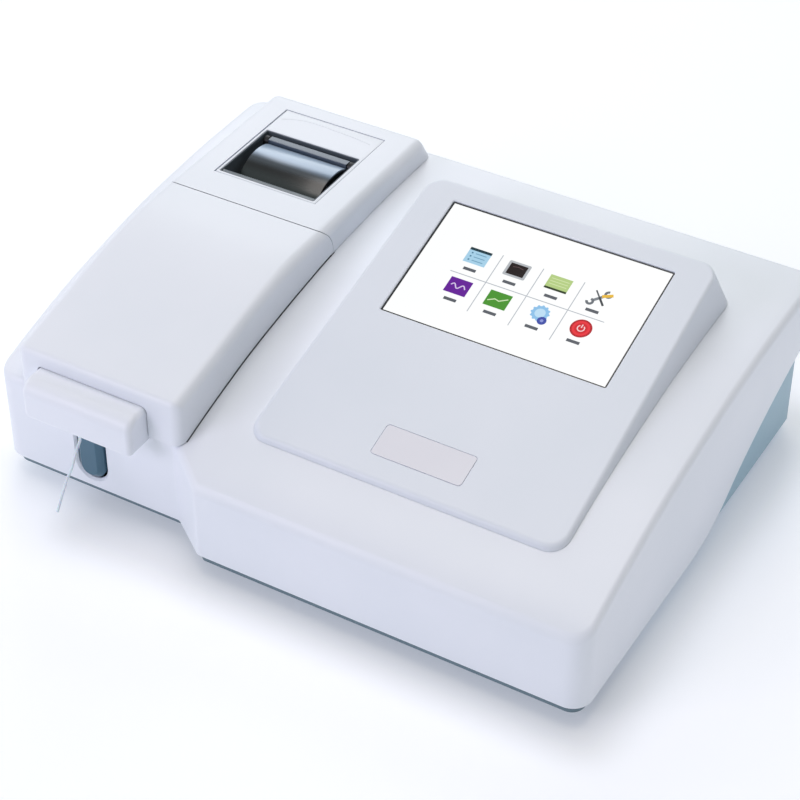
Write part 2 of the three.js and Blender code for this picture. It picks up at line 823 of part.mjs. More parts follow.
// Bay tub: hangs under the deck's rim, with the hinge lugs, and openings for cell, pump and tubes.
function bayTub() {
  const floorBottom = bayFloorTop - bayFloor;
  const outerSides = around(moduleX, bayWidth / 2 + bayWall);
  const shell = block(outerSides, [bayFront + seam, bayBack + bayWall], [floorBottom, high])
    .subtract(block(around(moduleX, bayWidth / 2), [bayFront - overrun, bayBack],
      [bayFloorTop, high + overrun]));
  const tub = shell.intersect(underDeck(-casingWall - seam, outerSides[0] - overrun, outerSides[1] + overrun));
  const lugs = [-1, 1].map((side) => {
    const outer = moduleX + side * (moduleWidth / 2 - earThickness - play);
    const inner = outer - side * lugThickness;
    const span = [Math.min(outer, inner), Math.max(outer, inner)];
    const stem = block(span, around(hingeY, lugWidth / 2), [floorBottom + bayFloor / 2, hingeZ]);
    const eye = rodX(lugWidth / 2, ...span, hingeY, hingeZ);
    return joined([stem, eye]).subtract(rodX(lidPinRadius + seam, span[0] - overrun, span[1] + overrun,
      hingeY, hingeZ, smallSides));
  });
  const through = [floorBottom - overrun, bayFloorTop + overrun];
  return cutBy(joined([tub, ...lugs]), [
    block(around(opticsX, cellSize), around(holderY, cellSize), through),
    rodZ(pumpShaft + play * 2, ...through, pumpX, pumpY),
    ...[-1, 1].map((side) => rodZ(tubeRadius + play * 2, ...through,
      pumpX + side * tubeCentre, pumpY - tubeTurnDrop, smallSides)),
  ]);
}

const tubeCentre = (pumpTrack + rotorReach) / 2 + seam / 2;
part(casing, 'bay_tub', bayTub(), greyPlastic);

// Printer cover: the module's fixed rear part, with the opening for the printer bezel.
const panelHalf = paperOpeningWidth / 2 + panelSide;
const panelRange = [
  printerY - paperOpeningLength / 2 - panelFront,
  printerY + paperOpeningLength / 2 + panelBack];

function printerCover() {
  const lip = curlRadius + lidGap;
  const shell = moduleForm(0).subtract(moduleForm(moduleWall));
  const [left, right] = moduleSides;
  const frontSkin = aboutHinge(lip + moduleWall, left, right)
    .intersect(moduleForm(0))
    .subtract(block([left - overrun, right + overrun], [-depth, hingeY], [0, high]));
  const cover = joined([shell, frontSkin]).subtract(lidSpace(lip));
  return aboveDeck(cover, seam).subtract(
    block(around(printerX, panelHalf + seam), [panelRange[0] - seam, panelRange[1] + seam],
      [deckHeight, high]));
}

part(casing, 'printer_cover', printerCover(), whiteModule);

// Printer, built about the middle of its opening, with zero at the module's top.
const printer = new THREE.Group();
printer.position.set(printerX, printerY, moduleTop);
casing.add(printer);
const openHalfX = paperOpeningWidth / 2;
const openHalfY = paperOpeningLength / 2;

function printerBezel() {
  const slab = block([-panelHalf, panelHalf],
    [-openHalfY - panelFront, openHalfY + panelBack], [-moduleWall, 0]);
  return slab.subtract(block([-openHalfX, openHalfX], [-openHalfY, openHalfY], [-moduleWall * 2, overrun]));
}

function paperBucket() {
  const room = [[-openHalfY, 0], [-openHalfY, -rollDepth + overrun]];
  for (let step = 0; step <= smallSides; step++) {
    const turn = Math.PI * (1 + step / smallSides);
    const radius = rollRadius + rollSlack;
    room.push([rollY + radius * Math.cos(turn), -rollDepth + radius * Math.sin(turn)]);
  }
  room.push([openHalfY, -rollDepth + overrun], [openHalfY, 0]);
  const walls = inset(room, -bucketWall).map(([y, z]) => [y, Math.min(z, 0)]);
  const top = -moduleWall - seam;
  const body = prismX(walls, -bucketHalfWidth, bucketHalfWidth).intersect(
    block([-half, half], [-depth, depth], [-high, top]));
  const flange = block([-panelHalf - flangeWidth, panelHalf + flangeWidth],
    [-openHalfY - panelFront - flangeWidth, openHalfY + panelBack + flangeWidth / 2], [top - bucketWall, top]);
  return cutBy(joined([body, flange]), [
    prismX(room.map(([y, z]) => [y, z === 0 ? overrun : z]), -openHalfX, openHalfX),
    rodX(axleRadius + seam, -half, half, axleY, -axleDepth, smallSides),
    rodX(platenShaft + seam, -half, half, platenY, -platenDepth, smallSides),
  ]);
}

// The smoked arch: part of a tube's wall, ending in a barrel round its axle.
function paperCover() {
  const arc = (radius, from, to) => {
    const points = [];
    for (let step = 0; step <= roundSides / 2; step++) {
      const turn = radians(from + (to - from) * step / (roundSides / 2));
      points.push([archY + radius * Math.cos(turn), -archDepth + radius * Math.sin(turn)]);
    }
    return points;
  };
  const outline = [...arc(archRadius, archBackTurn, archFrontTurn),
    ...arc(archRadius - archThickness, archFrontTurn, archBackTurn)];
  const reach = archWidth / 2;
  return joined([
    prismX(outline, -reach, reach),
    rodX(barrelRadius, -reach, reach, axleY, -axleDepth, smallSides),
  ]).subtract(rodX(axleRadius + seam, -reach - overrun, reach + overrun, axleY, -axleDepth, smallSides));
}

function coverAxle() {
  const reach = bucketHalfWidth - seam;
  const collars = [-1, 1].map((side) => {
    const near = side * (archWidth / 2 + play);
    const far = near + side * (collarLength - seam);
    return rodX(collarRadius, Math.min(near, far), Math.max(near, far), axleY, -axleDepth, smallSides);
  });
  return joined([rodX(axleRadius, -reach, reach, axleY, -axleDepth, smallSides), ...collars]);
}

part(printer, 'printer_bezel', printerBezel(), whiteModule);
part(printer, 'paper_bucket', paperBucket(), blackPlastic);
part(printer, 'paper_cover', paperCover(), smokedPlastic);
part(printer, 'cover_axle', coverAxle(), blackPlastic);
part(printer, 'paper_roll', rodX(rollRadius, -rollWidth / 2, rollWidth / 2, rollY, -rollDepth)
  .subtract(rodX(rollCore, -rollWidth, rollWidth, rollY, -rollDepth)), paper);
part(printer, 'platen_roller', joined([
  rodX(platenRadius, -platenLength / 2, platenLength / 2, platenY, -platenDepth),
  rodX(platenShaft, -bucketHalfWidth + seam, bucketHalfWidth - seam, platenY, -platenDepth, smallSides),
]), darkRubber);
const headFront = platenY + platenRadius + seam;
part(printer, 'print_head', block([-platenLength / 2, platenLength / 2], [headFront, headFront + headThickness],
  [-platenDepth - headHeight / 2, -platenDepth + headHeight / 2]), greyPlastic);
part(printer, 'tear_bar', prismX([
  [-openHalfY + seam, -tearBarDepth - tearBarHeight],
  [-openHalfY + tearBarThickness, -tearBarDepth - tearBarHeight],
  [-openHalfY + tearBarThickness, -tearBarDepth],
  [-openHalfY + seam, -tearBarDepth - tearBarThickness / 2],
], -openHalfX + seam, openHalfX - seam), steel);

// Probe block: a rounded cover on the left front, with a foot that stands in the bay.
const blockFront = leftSetback - blockReach;

function probeBlock() {
  const form = (distance) => {
    const back = leftSetback + blockEdge * 2;
    const corners = [[blockFront, blockBottom, blockWall], [back, blockBottom], [back, blockTop],
      [blockFront, blockTop, blockRound]];
    const reach = blockWidth / 2 - distance;
    return prismX(inset(corners, distance), blockX - reach, blockX + reach, blockEdge - distance);
  };
  const proud = block([-half, half], [-depth, leftSetback - seam], [0, high]);
  const shell = form(0).intersect(proud).subtract(form(blockWall).subtract(
    block([-half, half], [leftSetback - seam - blockWall, depth], [0, high])));
  const footTop = blockTop - moduleEdge;
  const rim = deckAt(bayFront) + lidLift + seam;
  const foot = prismX([
    [leftSetback - seam - blockWall / 2, rim], [bayFront + play, rim], [bayFront + play, bayFloorTop + seam],
    [blockFoot, bayFloorTop + seam], [blockFoot, bayFloorTop + blockWall],
    [bayFront + play + blockWall, footTop],
    [leftSetback - seam - blockWall / 2, footTop],
  ], blockX - blockWidth / 2 + blockEdge * 2, blockX + blockWidth / 2 - blockEdge * 2);
  const drain = rodZ(probeRadius + seam, blockBottom - overrun, blockBottom + blockWall + overrun,
    probeX, probeTop(), smallSides);
  return joined([shell, foot]).subtract(drain);
}

function probeTop() {
  return blockFront + probeSetback;
}

part(casing, 'probe_block', probeBlock(), whiteModule);

// Probe: a thin tube that leaves the block's underside and bends forwards to its tip.
function sipperProbe() {
  const along = probeTop() - blockFront + probeReach;
  const drop = blockBottom - probeTip;
  const bends = probeShares.map(([y, z]) =>
    new THREE.Vector3(probeX, probeTop() - y * along, blockBottom - z * drop));
  const top = new THREE.Vector3(probeX, probeTop(), blockBottom + probeInside);
  return tubeAlong(new THREE.CatmullRomCurve3([top, ...bends]), probeRadius, probeSteps);
}

part(casing, 'sipper_probe', sipperProbe(), ptfe);

// Aspirate key: a paddle that swings back about a stub axle near its top, on to a switch in its bracket.
const keyGap = (keyOpening - keyWidth) / 2;
const keyFront = leftSetback - keyProud;
const keyBack = keyFront + keyDepth;
const keyPivotY = leftSetback + keyPivotSetback;
const cheek = keyWidth / 2 + play;
const bracketFront = leftSetback + casingWall + seam;
const bracketBack = bracketFront + bracketDepth;

function aspirateKey() {
  const outline = keyOutline(keyWidth, keyOpeningBottom + keyGap, keyOpeningTop - keyGap);
  const ring = (along, distance) => inset(outline, distance).map(([a, b]) => new THREE.Vector3(a, b, along));
  const paddle = loft([ring(0, 0), ring(keyDepth - keyChamfer, 0), ring(keyDepth, keyChamfer)]);
  const reach = cheek + bracketWall - seam;
  return joined([
    solid(paddle.applyMatrix4(towardsY).translate(keyX, keyBack, 0)),
    rodX(keyPivotRadius, keyX - reach, keyX + reach, keyPivotY, keyPivotHeight, smallSides),
  ]);
}

function keyBracket() {
  const heights = [bracketBottom, keyOpeningTop];
  const cheeks = [-1, 1].map((side) => {
    const [near, far] = [keyX + side * cheek, keyX + side * (cheek + bracketWall)];
    return block([Math.min(near, far), Math.max(near, far)], [bracketFront, bracketBack], heights);
  });
  const web = block(around(keyX, cheek + bracketWall), [bracketBack - bracketWall, bracketBack], heights);
  return joined([web, ...cheeks]).subtract(
    rodX(keyPivotRadius + seam, keyX - keyWidth, keyX + keyWidth, keyPivotY, keyPivotHeight, smallSides));
}

function keySwitch() {
  const arm = keyPivotHeight - switchFloor;
  const turn = radians(keyTravel);
  const reached = keyPivotY + (keyBack - keyPivotY) * Math.cos(turn) + arm * Math.sin(turn);
  return block(around(keyX, switchWidth / 2), [reached + play, bracketBack - bracketWall - seam],
    [switchFloor, switchFloor + switchHeight]);
}

part(casing, 'aspirate_key', aspirateKey(), slateKey);
part(casing, 'key_bracket', keyBracket(), aluminium);
part(casing, 'key_switch', keySwitch(), blackPlastic);

// Display wedge: a drafted hood with a tilted top; the screen and the name plate lie in that plane.
const display = new THREE.Group();
display.position.set(displayX, displayTopBack, displayTop);
display.rotation.x = radians(displayTilt);
display.updateMatrix();
casing.add(display);
const screenY = -(screenMargin + screenHeight / 2);

function displayForm(distance) {
  const [left, right] = around(displayX, displayWidth / 2);
  const slope = Math.tan(radians(displayTilt));
  const sink = distance / Math.cos(radians(displayTilt));
  const base = [[left, displayFront, displayCorner], [right, displayFront, displayCorner],
    [right, displayBack, displayCorner], [left, displayBack, displayCorner]];
  const top = [[left + displayLip, displayFront + displayLip, displayCorner],
    [right - displayLip, displayFront + displayLip, displayCorner],
    [right - displayDraft, displayTopBack, displayCorner],
    [left + displayDraft, displayTopBack, displayCorner]];
  const ring = (corners, height) => rounded(inset(corners, distance))
    .map(([x, y]) => new THREE.Vector3(x, y, height(y)));
  return solid(loft([
    ring(base, () => -distance),
    ring(base, deckAt),
    ring(top, (y) => displayTop - sink + (y - displayTopBack) * slope),
  ]));
}

function displayBezel() {
  const window = boxed(around(0, screenWidth / 2), around(screenY, screenHeight / 2), [-high, overrun]);
  const recess = boxed(around(plateOffset, plateWidth / 2 + seam),
    around(-plateDistance, plateHeight / 2 + seam), [-plateRecess, overrun]);
  return cutBy(displayForm(0), [
    displayForm(displaySkin),
    underDeck(seam, -half, half),
    solid(window.applyMatrix4(display.matrix)),
    solid(recess.applyMatrix4(display.matrix)),
  ]);
}

function touchScreen() {
  const top = -displaySkin - seam;
  return joined([
    block(around(0, screenWidth / 2 + screenRim), around(screenY, screenHeight / 2 + screenRim),
      [top - screenModule, top]),
    block(around(0, screenWidth / 2 - seam), around(screenY, screenHeight / 2 - seam),
      [top - screenModule / 2, -screenRecess]),
  ]);
}

part(casing, 'display_bezel', displayBezel(), paleBezel);
part(display, 'touch_screen', touchScreen(), screenGlass);
part(display, 'name_plate', block(around(plateOffset, plateWidth / 2), around(-plateDistance, plateHeight / 2),
  [seam - plateRecess, seam - plateRecess + plateThickness]), paleBezel);

// Optics: a base plate with a bulkhead carries lamp, filter wheel, cell holder and detector in line.
const wheelX = opticsX + filterCircle;
const beamZ = beamHeight;
const seat = plateTop + seam;
const holderFront = holderY - holderSize / 2;

function opticsBase() {
  const sides = around(opticsMiddle, opticsPlateWidth / 2);
  const plate = block(sides, [opticsPlateFront, opticsPlateBack], [plateTop - opticsPlate, plateTop]);
  const bulkhead = block(sides, [bulkheadY, bulkheadY + opticsPlate],
    [plateTop - opticsPlate / 2, bulkheadTop]);
  return joined([plate, bulkhead]).subtract(
    rodY(beamRadius, bulkheadY - overrun, bulkheadY + opticsPlate + overrun, opticsX, beamZ));
}

function cellHolder() {
  const side = cellSize / 2 + cellSlack;
  return cutBy(block(around(opticsX, holderSize / 2), around(holderY, holderSize / 2), [seat, holderTop]), [
    block(around(opticsX, side), around(holderY, side), [cellBottom - seam, high]),
    rodY(beamRadius, holderFront - overrun, holderFront + holderSize + overrun, opticsX, beamZ),
  ]);
}

function flowCell() {
  const top = cellBottom + cellLength;
  const nipples = [-1, 1].map((side) => rodZ(nippleRadius, top - nippleLength, top + nippleLength,
    opticsX + side * cellSize / 4, holderY, tubeSides));
  const body = block(around(opticsX, cellSize / 2), around(holderY, cellSize / 2), [cellBottom, top]);
  return joined([body, ...nipples]);
}

function detectorHousing() {
  const back = holderFront - seam;
  return block(around(opticsX, detectorWidth / 2), [back - detectorDepth, back], [seat, seat + detectorHeight])
    .subtract(rodY(beamRadius, back - detectorDepth / 3, back + overrun, opticsX, beamZ));
}

function lampHousing() {
  const [front, back] = around(lampY, lampHousingDepth / 2);
  return cutBy(block(around(opticsX, lampHousingWidth / 2), [front, back], [seat, lampHousingTop]), [
    rodY(lensRadius + seam, front - overrun, lampY, opticsX, beamZ),
    rodZ(lampBase + play * 2, lampHousingTop - lampLength - lampBulb, high, opticsX, lampY),
  ]);
}

function halogenLamp() {
  const flange = lampHousingTop + seam;
  const bottom = flange - lampLength;
  return turned([
    [0, bottom], [lampBulb * Math.SQRT1_2, bottom + lampBulb * (1 - Math.SQRT1_2)],
    [lampBulb, bottom + lampBulb], [lampBulb, flange - lampFlange],
    [lampBase, flange - lampFlange], [lampBase, flange], [lampFlange, flange],
    [lampFlange, flange + lampFlangeThickness], [0, flange + lampFlangeThickness],
  ]);
}

function condenserLens() {
  const profile = [[0, 0], [lensRadius, 0], [lensRadius, lensThickness / 3]];
  for (let step = 1; step < edgeSteps; step++) {
    const turn = Math.PI / 2 * step / edgeSteps;
    profile.push([lensRadius * Math.cos(turn), lensThickness / 3 + lensThickness * 2 / 3 * Math.sin(turn)]);
  }
  return turned([...profile, [0, lensThickness]]);
}

const filterPlaces = [];
for (let i = 0; i < filterCount; i++) {
  const turn = Math.PI * (1 + 2 * i / filterCount);
  filterPlaces.push([wheelX + filterCircle * Math.cos(turn), beamZ + filterCircle * Math.sin(turn)]);
}

function filterWheel() {
  const back = wheelY + wheelThickness;
  const disc = joined([
    rodY(wheelRadius, wheelY, back, wheelX, beamZ),
    rodY(wheelHub, wheelY - wheelThickness / 2, back, wheelX, beamZ),
  ]);
  return cutBy(disc, [
    rodY(wheelShaft + seam, wheelY - wheelThickness, back + overrun, wheelX, beamZ, smallSides),
    ...filterPlaces.map(([x, z]) =>
      rodY(filterRadius + seam, wheelY - overrun, back + overrun, x, z, smallSides)),
  ]);
}

const motorFront = bulkheadY + opticsPlate + seam;
part(casing, 'optics_plate', opticsBase(), aluminium);
part(casing, 'cell_holder', cellHolder(), aluminium);
part(casing, 'flow_cell', flowCell(), clearGlass);
part(casing, 'detector_housing', detectorHousing(), blackPlastic);
part(casing, 'lamp_housing', lampHousing(), aluminium);
part(casing, 'halogen_lamp', halogenLamp(), steel).position.set(opticsX, lampY, 0);
const lens = part(casing, 'condenser_lens', condenserLens(), clearGlass);
lens.position.set(opticsX, lensY, beamZ);
lens.rotation.x = Math.PI / 2;
part(casing, 'filter_wheel', filterWheel(), blackPlastic);
const filterInset = (wheelThickness - filterThickness) / 2;
filterPlaces.forEach(([x, z], i) => {
  const shape = rodY(filterRadius, wheelY + filterInset, wheelY + filterInset + filterThickness, x, z,
    smallSides);
  part(casing, `filter_${i + 1}`, shape, filterGlass);
});
part(casing, 'wheel_motor', joined([
  rodY(wheelMotorRadius, motorFront, motorFront + wheelMotorLength, wheelX, beamZ),
  rodY(wheelShaft, motorFront + wheelMotorLength / 2, wheelY + wheelThickness, wheelX, beamZ, smallSides),
]), steel);

// Peristaltic pump: horseshoe housing and rotor on the bay's floor, the motor under it, the tube between.
const pumpBottom = bayFloorTop + seam;
const pumpDeck = pumpBottom + pumpFloor;
const tubeZ = pumpDeck + play + rotorHeight / 2;

function pumpHousing() {
  const top = pumpBottom + pumpHeight;
  const front = pumpY - pumpFront;
  return cutBy(joined([
    rodZ(pumpOuter, pumpBottom, top, pumpX, pumpY, roundSides * 2),
    block(around(pumpX, pumpOuter), [front, pumpY], [pumpBottom, top]),
  ]), [
    rodZ(pumpTrack, pumpDeck, high, pumpX, pumpY, roundSides * 2),
    block(around(pumpX, pumpTrack), [front - overrun, pumpY], [pumpDeck, high]),
    rodZ(pumpShaft + play, pumpBottom - overrun, high, pumpX, pumpY, smallSides),
  ]);
}

function pumpRotor() {
  const heights = [pumpDeck + play, pumpDeck + play + rotorHeight];
  const arm = rotorReach - rollerRadius;
  const rollers = [];
  for (let i = 0; i < rollerCount; i++) {
    const turn = 2 * Math.PI * i / rollerCount;
    const [x, y] = [arm * Math.cos(turn), arm * Math.sin(turn)];
    rollers.push(rodZ(rollerRadius, ...heights, x, y, smallSides));
  }
  return joined([rodZ(rotorHub, ...heights, 0, 0), ...rollers])
    .subtract(rodZ(pumpShaft + seam, heights[0] - overrun, heights[1] + overrun, 0, 0, smallSides));
}

function pumpTube() {
  const low = new THREE.Vector3(0, -tubeTurnDrop, bayFloorTop - tubeTail);
  const path = new THREE.CurvePath();
  const at = (side, y, z) => new THREE.Vector3(pumpX + side * tubeCentre, pumpY + y, z);
  const corner = (side) => [
    at(side, low.y, tubeZ - tubeBend), at(side, low.y, tubeZ), at(side, low.y + tubeBend, tubeZ)];
  const [a, b, c] = corner(-1);
  const [d, e, f] = corner(1);
  path.add(new THREE.LineCurve3(at(-1, low.y, low.z), a));
  path.add(new THREE.QuadraticBezierCurve3(a, b, c));
  path.add(new THREE.LineCurve3(c, at(-1, 0, tubeZ)));
  const bow = [];
  for (let step = 0; step <= smallSides; step++) {
    const turn = Math.PI * (1 - step / smallSides);
    bow.push(new THREE.Vector3(
      pumpX + tubeCentre * Math.cos(turn), pumpY + tubeCentre * Math.sin(turn), tubeZ));
  }
  path.add(new THREE.CatmullRomCurve3(bow));
  path.add(new THREE.LineCurve3(at(1, 0, tubeZ), f));
  path.add(new THREE.QuadraticBezierCurve3(f, e, d));
  path.add(new THREE.LineCurve3(d, at(1, low.y, low.z)));
  return tubeAlong(path, tubeRadius, pumpTubeSteps);
}

part(casing, 'pump_housing', pumpHousing(), greyPlastic);
part(casing, 'pump_rotor', pumpRotor(), blackPlastic).position.set(pumpX, pumpY, 0);
part(casing, 'pump_tube', pumpTube(), siliconeTube);
const pumpMotorTop = bayFloorTop - bayFloor - seam;
part(casing, 'pump_motor', joined([
  rodZ(pumpMotorRadius, pumpMotorTop - pumpMotorLength, pumpMotorTop, pumpX, pumpY),
  rodZ(pumpShaft, pumpMotorTop - pumpMotorLength / 2, pumpDeck + rotorHeight, pumpX, pumpY, smallSides),
]), steel);

// Electronics: main board and power supply on the base's posts.
function mainBoard() {
  const top = boardHeight + boardThickness;
  const chips = chipShares.map(([x, y, wide, long]) => block(
    around(boardX + x * boardWidth / 2, wide * boardWidth / 4),
    around(boardY + y * boardLength / 2, long * boardLength / 4),
    [boardHeight + boardThickness / 2, top + standoffRadius]));
  const board = block(around(boardX, boardWidth / 2), around(boardY, boardLength / 2), [boardHeight, top]);
  return joined([board, ...chips]);
}

function powerSupply() {
  const bottom = supplyFoot + baseFloor;
  const can = block(around(supplyX, supplyWidth / 2), around(supplyY, supplyLength / 2),
    [bottom, bottom + supplyHeight]);
  const vents = [];
  for (let i = 0; i < ventCount; i++) {
    const y = supplyY + (i - (ventCount - 1) / 2) * supplyLength / (ventCount + 1);
    vents.push(block(around(supplyX, supplyWidth / 3), around(y, ventWidth / 2),
      [bottom + supplyHeight - ventDepth, high]));
  }
  return cutBy(can, vents);
}

part(casing, 'main_board', mainBoard(), boardGreen);
part(casing, 'power_supply', powerSupply(), aluminium);

// Rear panel, closed from inside over the base's window, and what it carries.
const panelBackFace = rearInside - seam;
const panelFrontFace = panelBackFace - rearPanel;

function rearPlate() {
  const slots = [];
  for (let i = 0; i < slotCount; i++) {
    const rise = (i - (slotCount - 1) / 2) * grilleSlot * 2;
    const reach = Math.sqrt(fanBladeReach ** 2 - rise ** 2);
    slots.push([around(fanX, reach), around(fanZ + rise, grilleSlot / 2)]);
  }
  const windows = [
    [around(inletX, inletWidth / 2 + seam), around(portHeight, inletHeight / 2 + seam)],
    [around(switchX, rockerFrameWidth / 2 + seam), around(portHeight, rockerFrameHeight / 2 + seam)],
    [around(serialX, serialPlugWidth / 2 + seam), around(portHeight, serialPlugHeight / 2 + seam)],
    ...slots,
  ];
  const sheet = block(around(rearX, rearWidth / 2), [panelFrontFace, panelBackFace],
    [supplyFoot + seam, rearHeight + rearLap]);
  return cutBy(sheet, [
    ...windows.map(([xs, zs]) => block(xs, [panelFrontFace - overrun, depth], zs)),
    rodY(fittingRadius / 2 + seam, panelFrontFace - overrun, depth, fittingX, portHeight, smallSides),
  ]);
}

function powerInlet() {
  const body = block(around(inletX, inletWidth / 2), [rearInside - inletDepth, rearInside],
    around(portHeight, inletHeight / 2));
  const lip = block(around(inletX, inletWidth / 2 + inletLip), [rearInside, rearInside + inletFace],
    around(portHeight, inletHeight / 2 + inletLip));
  const face = rearInside + inletFace;
  const room = block(around(inletX, inletWidth / 2 - inletWall), [face - inletCavityDepth, face + overrun],
    around(portHeight, inletHeight / 2 - inletWall));
  const pins = [-pinRise, pinRise, -pinRise].map((rise, i) => block(
    around(inletX + (i - 1) * pinSpacing, pinThickness / 2),
    [face - inletCavityDepth - overrun, face - inletFace], around(portHeight + rise, pinWidth / 2)));
  return joined([joined([body, lip]).subtract(room), ...pins]);
}

const rockerPivotY = rearInside + inletFace - rockerPivotDepth;

function switchBody() {
  const sides = around(switchX, rockerFrameWidth / 2);
  const body = block(sides, [rearInside - rockerFrameDepth, rearInside],
    around(portHeight, rockerFrameHeight / 2));
  const lip = block(around(switchX, rockerFrameWidth / 2 + rockerRim), [rearInside, rearInside + inletFace],
    around(portHeight, rockerFrameHeight / 2 + rockerRim));
  return cutBy(joined([body, lip]), [
    block(around(switchX, rockerFrameWidth / 2 - rockerRim), [rearInside - rockerFrameDepth + rockerRim, depth],
      around(portHeight, rockerFrameHeight / 2 - rockerRim)),
    rodX(rockerAxle + seam, ...around(switchX, rockerFrameWidth / 2 - rockerRim / 2), rockerPivotY, portHeight,
      smallSides),
  ]);
}

function powerRocker() {
  const reach = rockerFrameWidth / 2 - rockerRim - play;
  return joined([
    prismX([[rockerFront, rockerHalfHeight], [-rockerBack, rockerHalfHeight / 2],
      [-rockerBack, -rockerHalfHeight / 2], [rockerFront, -rockerHalfHeight], [rockerFront - rockerDip, 0]],
    -reach, reach),
    rodX(rockerAxle, -reach - rockerRim / 2, reach + rockerRim / 2, 0, 0, smallSides),
  ]);
}

function serialPort() {
  const rows = around(portHeight, serialPlugHeight / 2);
  const columns = around(serialX, serialPlugWidth / 2);
  const face = rearInside + serialFlange;
  return cutBy(joined([
    block(columns, [rearInside - serialDepth, face + serialProud], rows),
    block(around(serialX, serialWidth / 2), [rearInside, face], around(portHeight, serialHeight / 2)),
  ]), [
    block(around(serialX, serialPlugWidth / 2 - serialWall), [face, depth],
      around(portHeight, serialPlugHeight / 2 - serialWall)),
  ]);
}

function wasteFitting() {
  const barb = fittingRadius / 2;
  const flange = rearInside + fittingFlange;
  const inner = rearInside - serialDepth;
  const middle = flange + fittingLength / 2;
  const end = flange + fittingLength;
  const profile = [[fittingBore, inner], [barb, inner], [barb, rearInside], [fittingRadius, rearInside],
    [fittingRadius, flange], [barb, flange], [barb, middle], [barb + play, middle], [barb - play, end],
    [fittingBore, end], [fittingBore, inner]];
  return turned(profile.map(([radius, y]) => [radius, -y]).reverse(), smallSides);
}

function fanFrame() {
  const back = panelFrontFace - seam;
  const front = back - fanDepth;
  const strut = [front, front + fanPlate];
  const ring = block(around(fanX, fanSize / 2), [front, back], around(fanZ, fanSize / 2))
    .subtract(rodY(fanBore, front - overrun, back + overrun, fanX, fanZ));
  return joined([
    ring,
    block(around(fanX, fanBore + play), strut, around(fanZ, fanStrut / 2)),
    block(around(fanX, fanStrut / 2), strut, around(fanZ, fanBore + play)),
    rodY(fanHub, ...strut, fanX, fanZ),
    rodY(fanAxle, front, back - fanPlate * 2, fanX, fanZ, smallSides),
  ]);
}

function fanRotor() {
  const front = panelFrontFace - seam - fanDepth + fanPlate + seam;
  const back = panelFrontFace - seam - fanPlate;
  const middle = (front + back) / 2;
  const blades = [];
  for (let i = 0; i < bladeCount; i++) {
    const blade = new THREE.BoxGeometry(fanBladeThickness, fanBladeDepth, fanBladeReach - fanHub / 2)
      .translate(0, 0, (fanBladeReach + fanHub / 2) / 2)
      .rotateZ(radians(fanBladePitch))
      .rotateY(2 * Math.PI * i / bladeCount)
      .translate(fanX, middle, fanZ);
    blades.push(solid(blade));
  }
  return joined([rodY(fanHub, front, back, fanX, fanZ), ...blades])
    .subtract(rodY(fanAxle + seam, front - overrun, back + overrun, fanX, fanZ, smallSides));
}

part(casing, 'rear_panel', rearPlate(), steel);
part(casing, 'power_inlet', powerInlet(), blackPlastic);
part(casing, 'switch_body', switchBody(), blackPlastic);
const rocker = part(casing, 'power_rocker', powerRocker(), blackPlastic);
rocker.position.set(switchX, rockerPivotY, portHeight);
rocker.rotation.x = radians(-rockerTilt);
part(casing, 'serial_port', serialPort(), steel);
const fitting = part(casing, 'waste_fitting', wasteFitting(), brass);
fitting.position.set(fittingX, 0, portHeight);
fitting.rotation.x = Math.PI / 2;
part(casing, 'fan_frame', fanFrame(), blackPlastic);
part(casing, 'fan_rotor', fanRotor(), blackPlastic);

// The origin lies on the bench under the middle of the whole, from the probe's tip to the rear fitting.
analyzer.updateMatrixWorld(true);
const bounds = new THREE.Box3().setFromObject(analyzer);
casing.position.y -= (bounds.min.y + bounds.max.y) / 2;

export default analyzer;
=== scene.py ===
# A benchtop chemistry analyzer, dressed round its fixed frame. Sizes are millimetres in the casing's own
# frame: X to the right, Y to the back from the right front face, Z up from the white shell's lower edge.

import json
import math

import bmesh
import bpy
from mathutils import Matrix, Vector
from mathutils.geometry import delaunay_2d_cdt


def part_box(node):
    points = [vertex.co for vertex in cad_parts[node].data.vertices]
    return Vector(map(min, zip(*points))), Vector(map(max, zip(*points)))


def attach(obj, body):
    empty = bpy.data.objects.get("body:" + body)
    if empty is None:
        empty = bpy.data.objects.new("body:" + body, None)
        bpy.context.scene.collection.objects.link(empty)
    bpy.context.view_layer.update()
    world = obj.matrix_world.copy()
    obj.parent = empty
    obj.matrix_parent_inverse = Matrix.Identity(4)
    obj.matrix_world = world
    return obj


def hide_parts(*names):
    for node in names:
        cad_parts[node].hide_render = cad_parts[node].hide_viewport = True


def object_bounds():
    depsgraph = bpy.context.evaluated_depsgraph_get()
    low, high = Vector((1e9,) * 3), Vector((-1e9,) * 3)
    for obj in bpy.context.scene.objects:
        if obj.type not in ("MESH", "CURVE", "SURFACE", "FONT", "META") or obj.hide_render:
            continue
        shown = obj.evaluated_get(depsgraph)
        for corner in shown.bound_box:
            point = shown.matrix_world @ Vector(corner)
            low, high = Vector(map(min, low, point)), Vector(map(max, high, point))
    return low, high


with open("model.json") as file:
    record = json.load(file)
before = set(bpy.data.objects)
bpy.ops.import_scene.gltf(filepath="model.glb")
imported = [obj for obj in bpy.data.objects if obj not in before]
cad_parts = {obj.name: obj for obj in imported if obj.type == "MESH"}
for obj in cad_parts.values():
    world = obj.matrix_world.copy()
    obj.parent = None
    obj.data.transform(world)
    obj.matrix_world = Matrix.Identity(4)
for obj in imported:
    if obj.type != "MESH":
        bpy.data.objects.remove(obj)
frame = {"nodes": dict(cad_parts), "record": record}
frame_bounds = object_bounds()
shell_low, shell_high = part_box("main_shell")
half = (shell_high.x - shell_low.x) * 500
depth = (shell_high.y - shell_low.y) * 1000
base_drop = (shell_low.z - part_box("base_tray")[0].z) * 1000


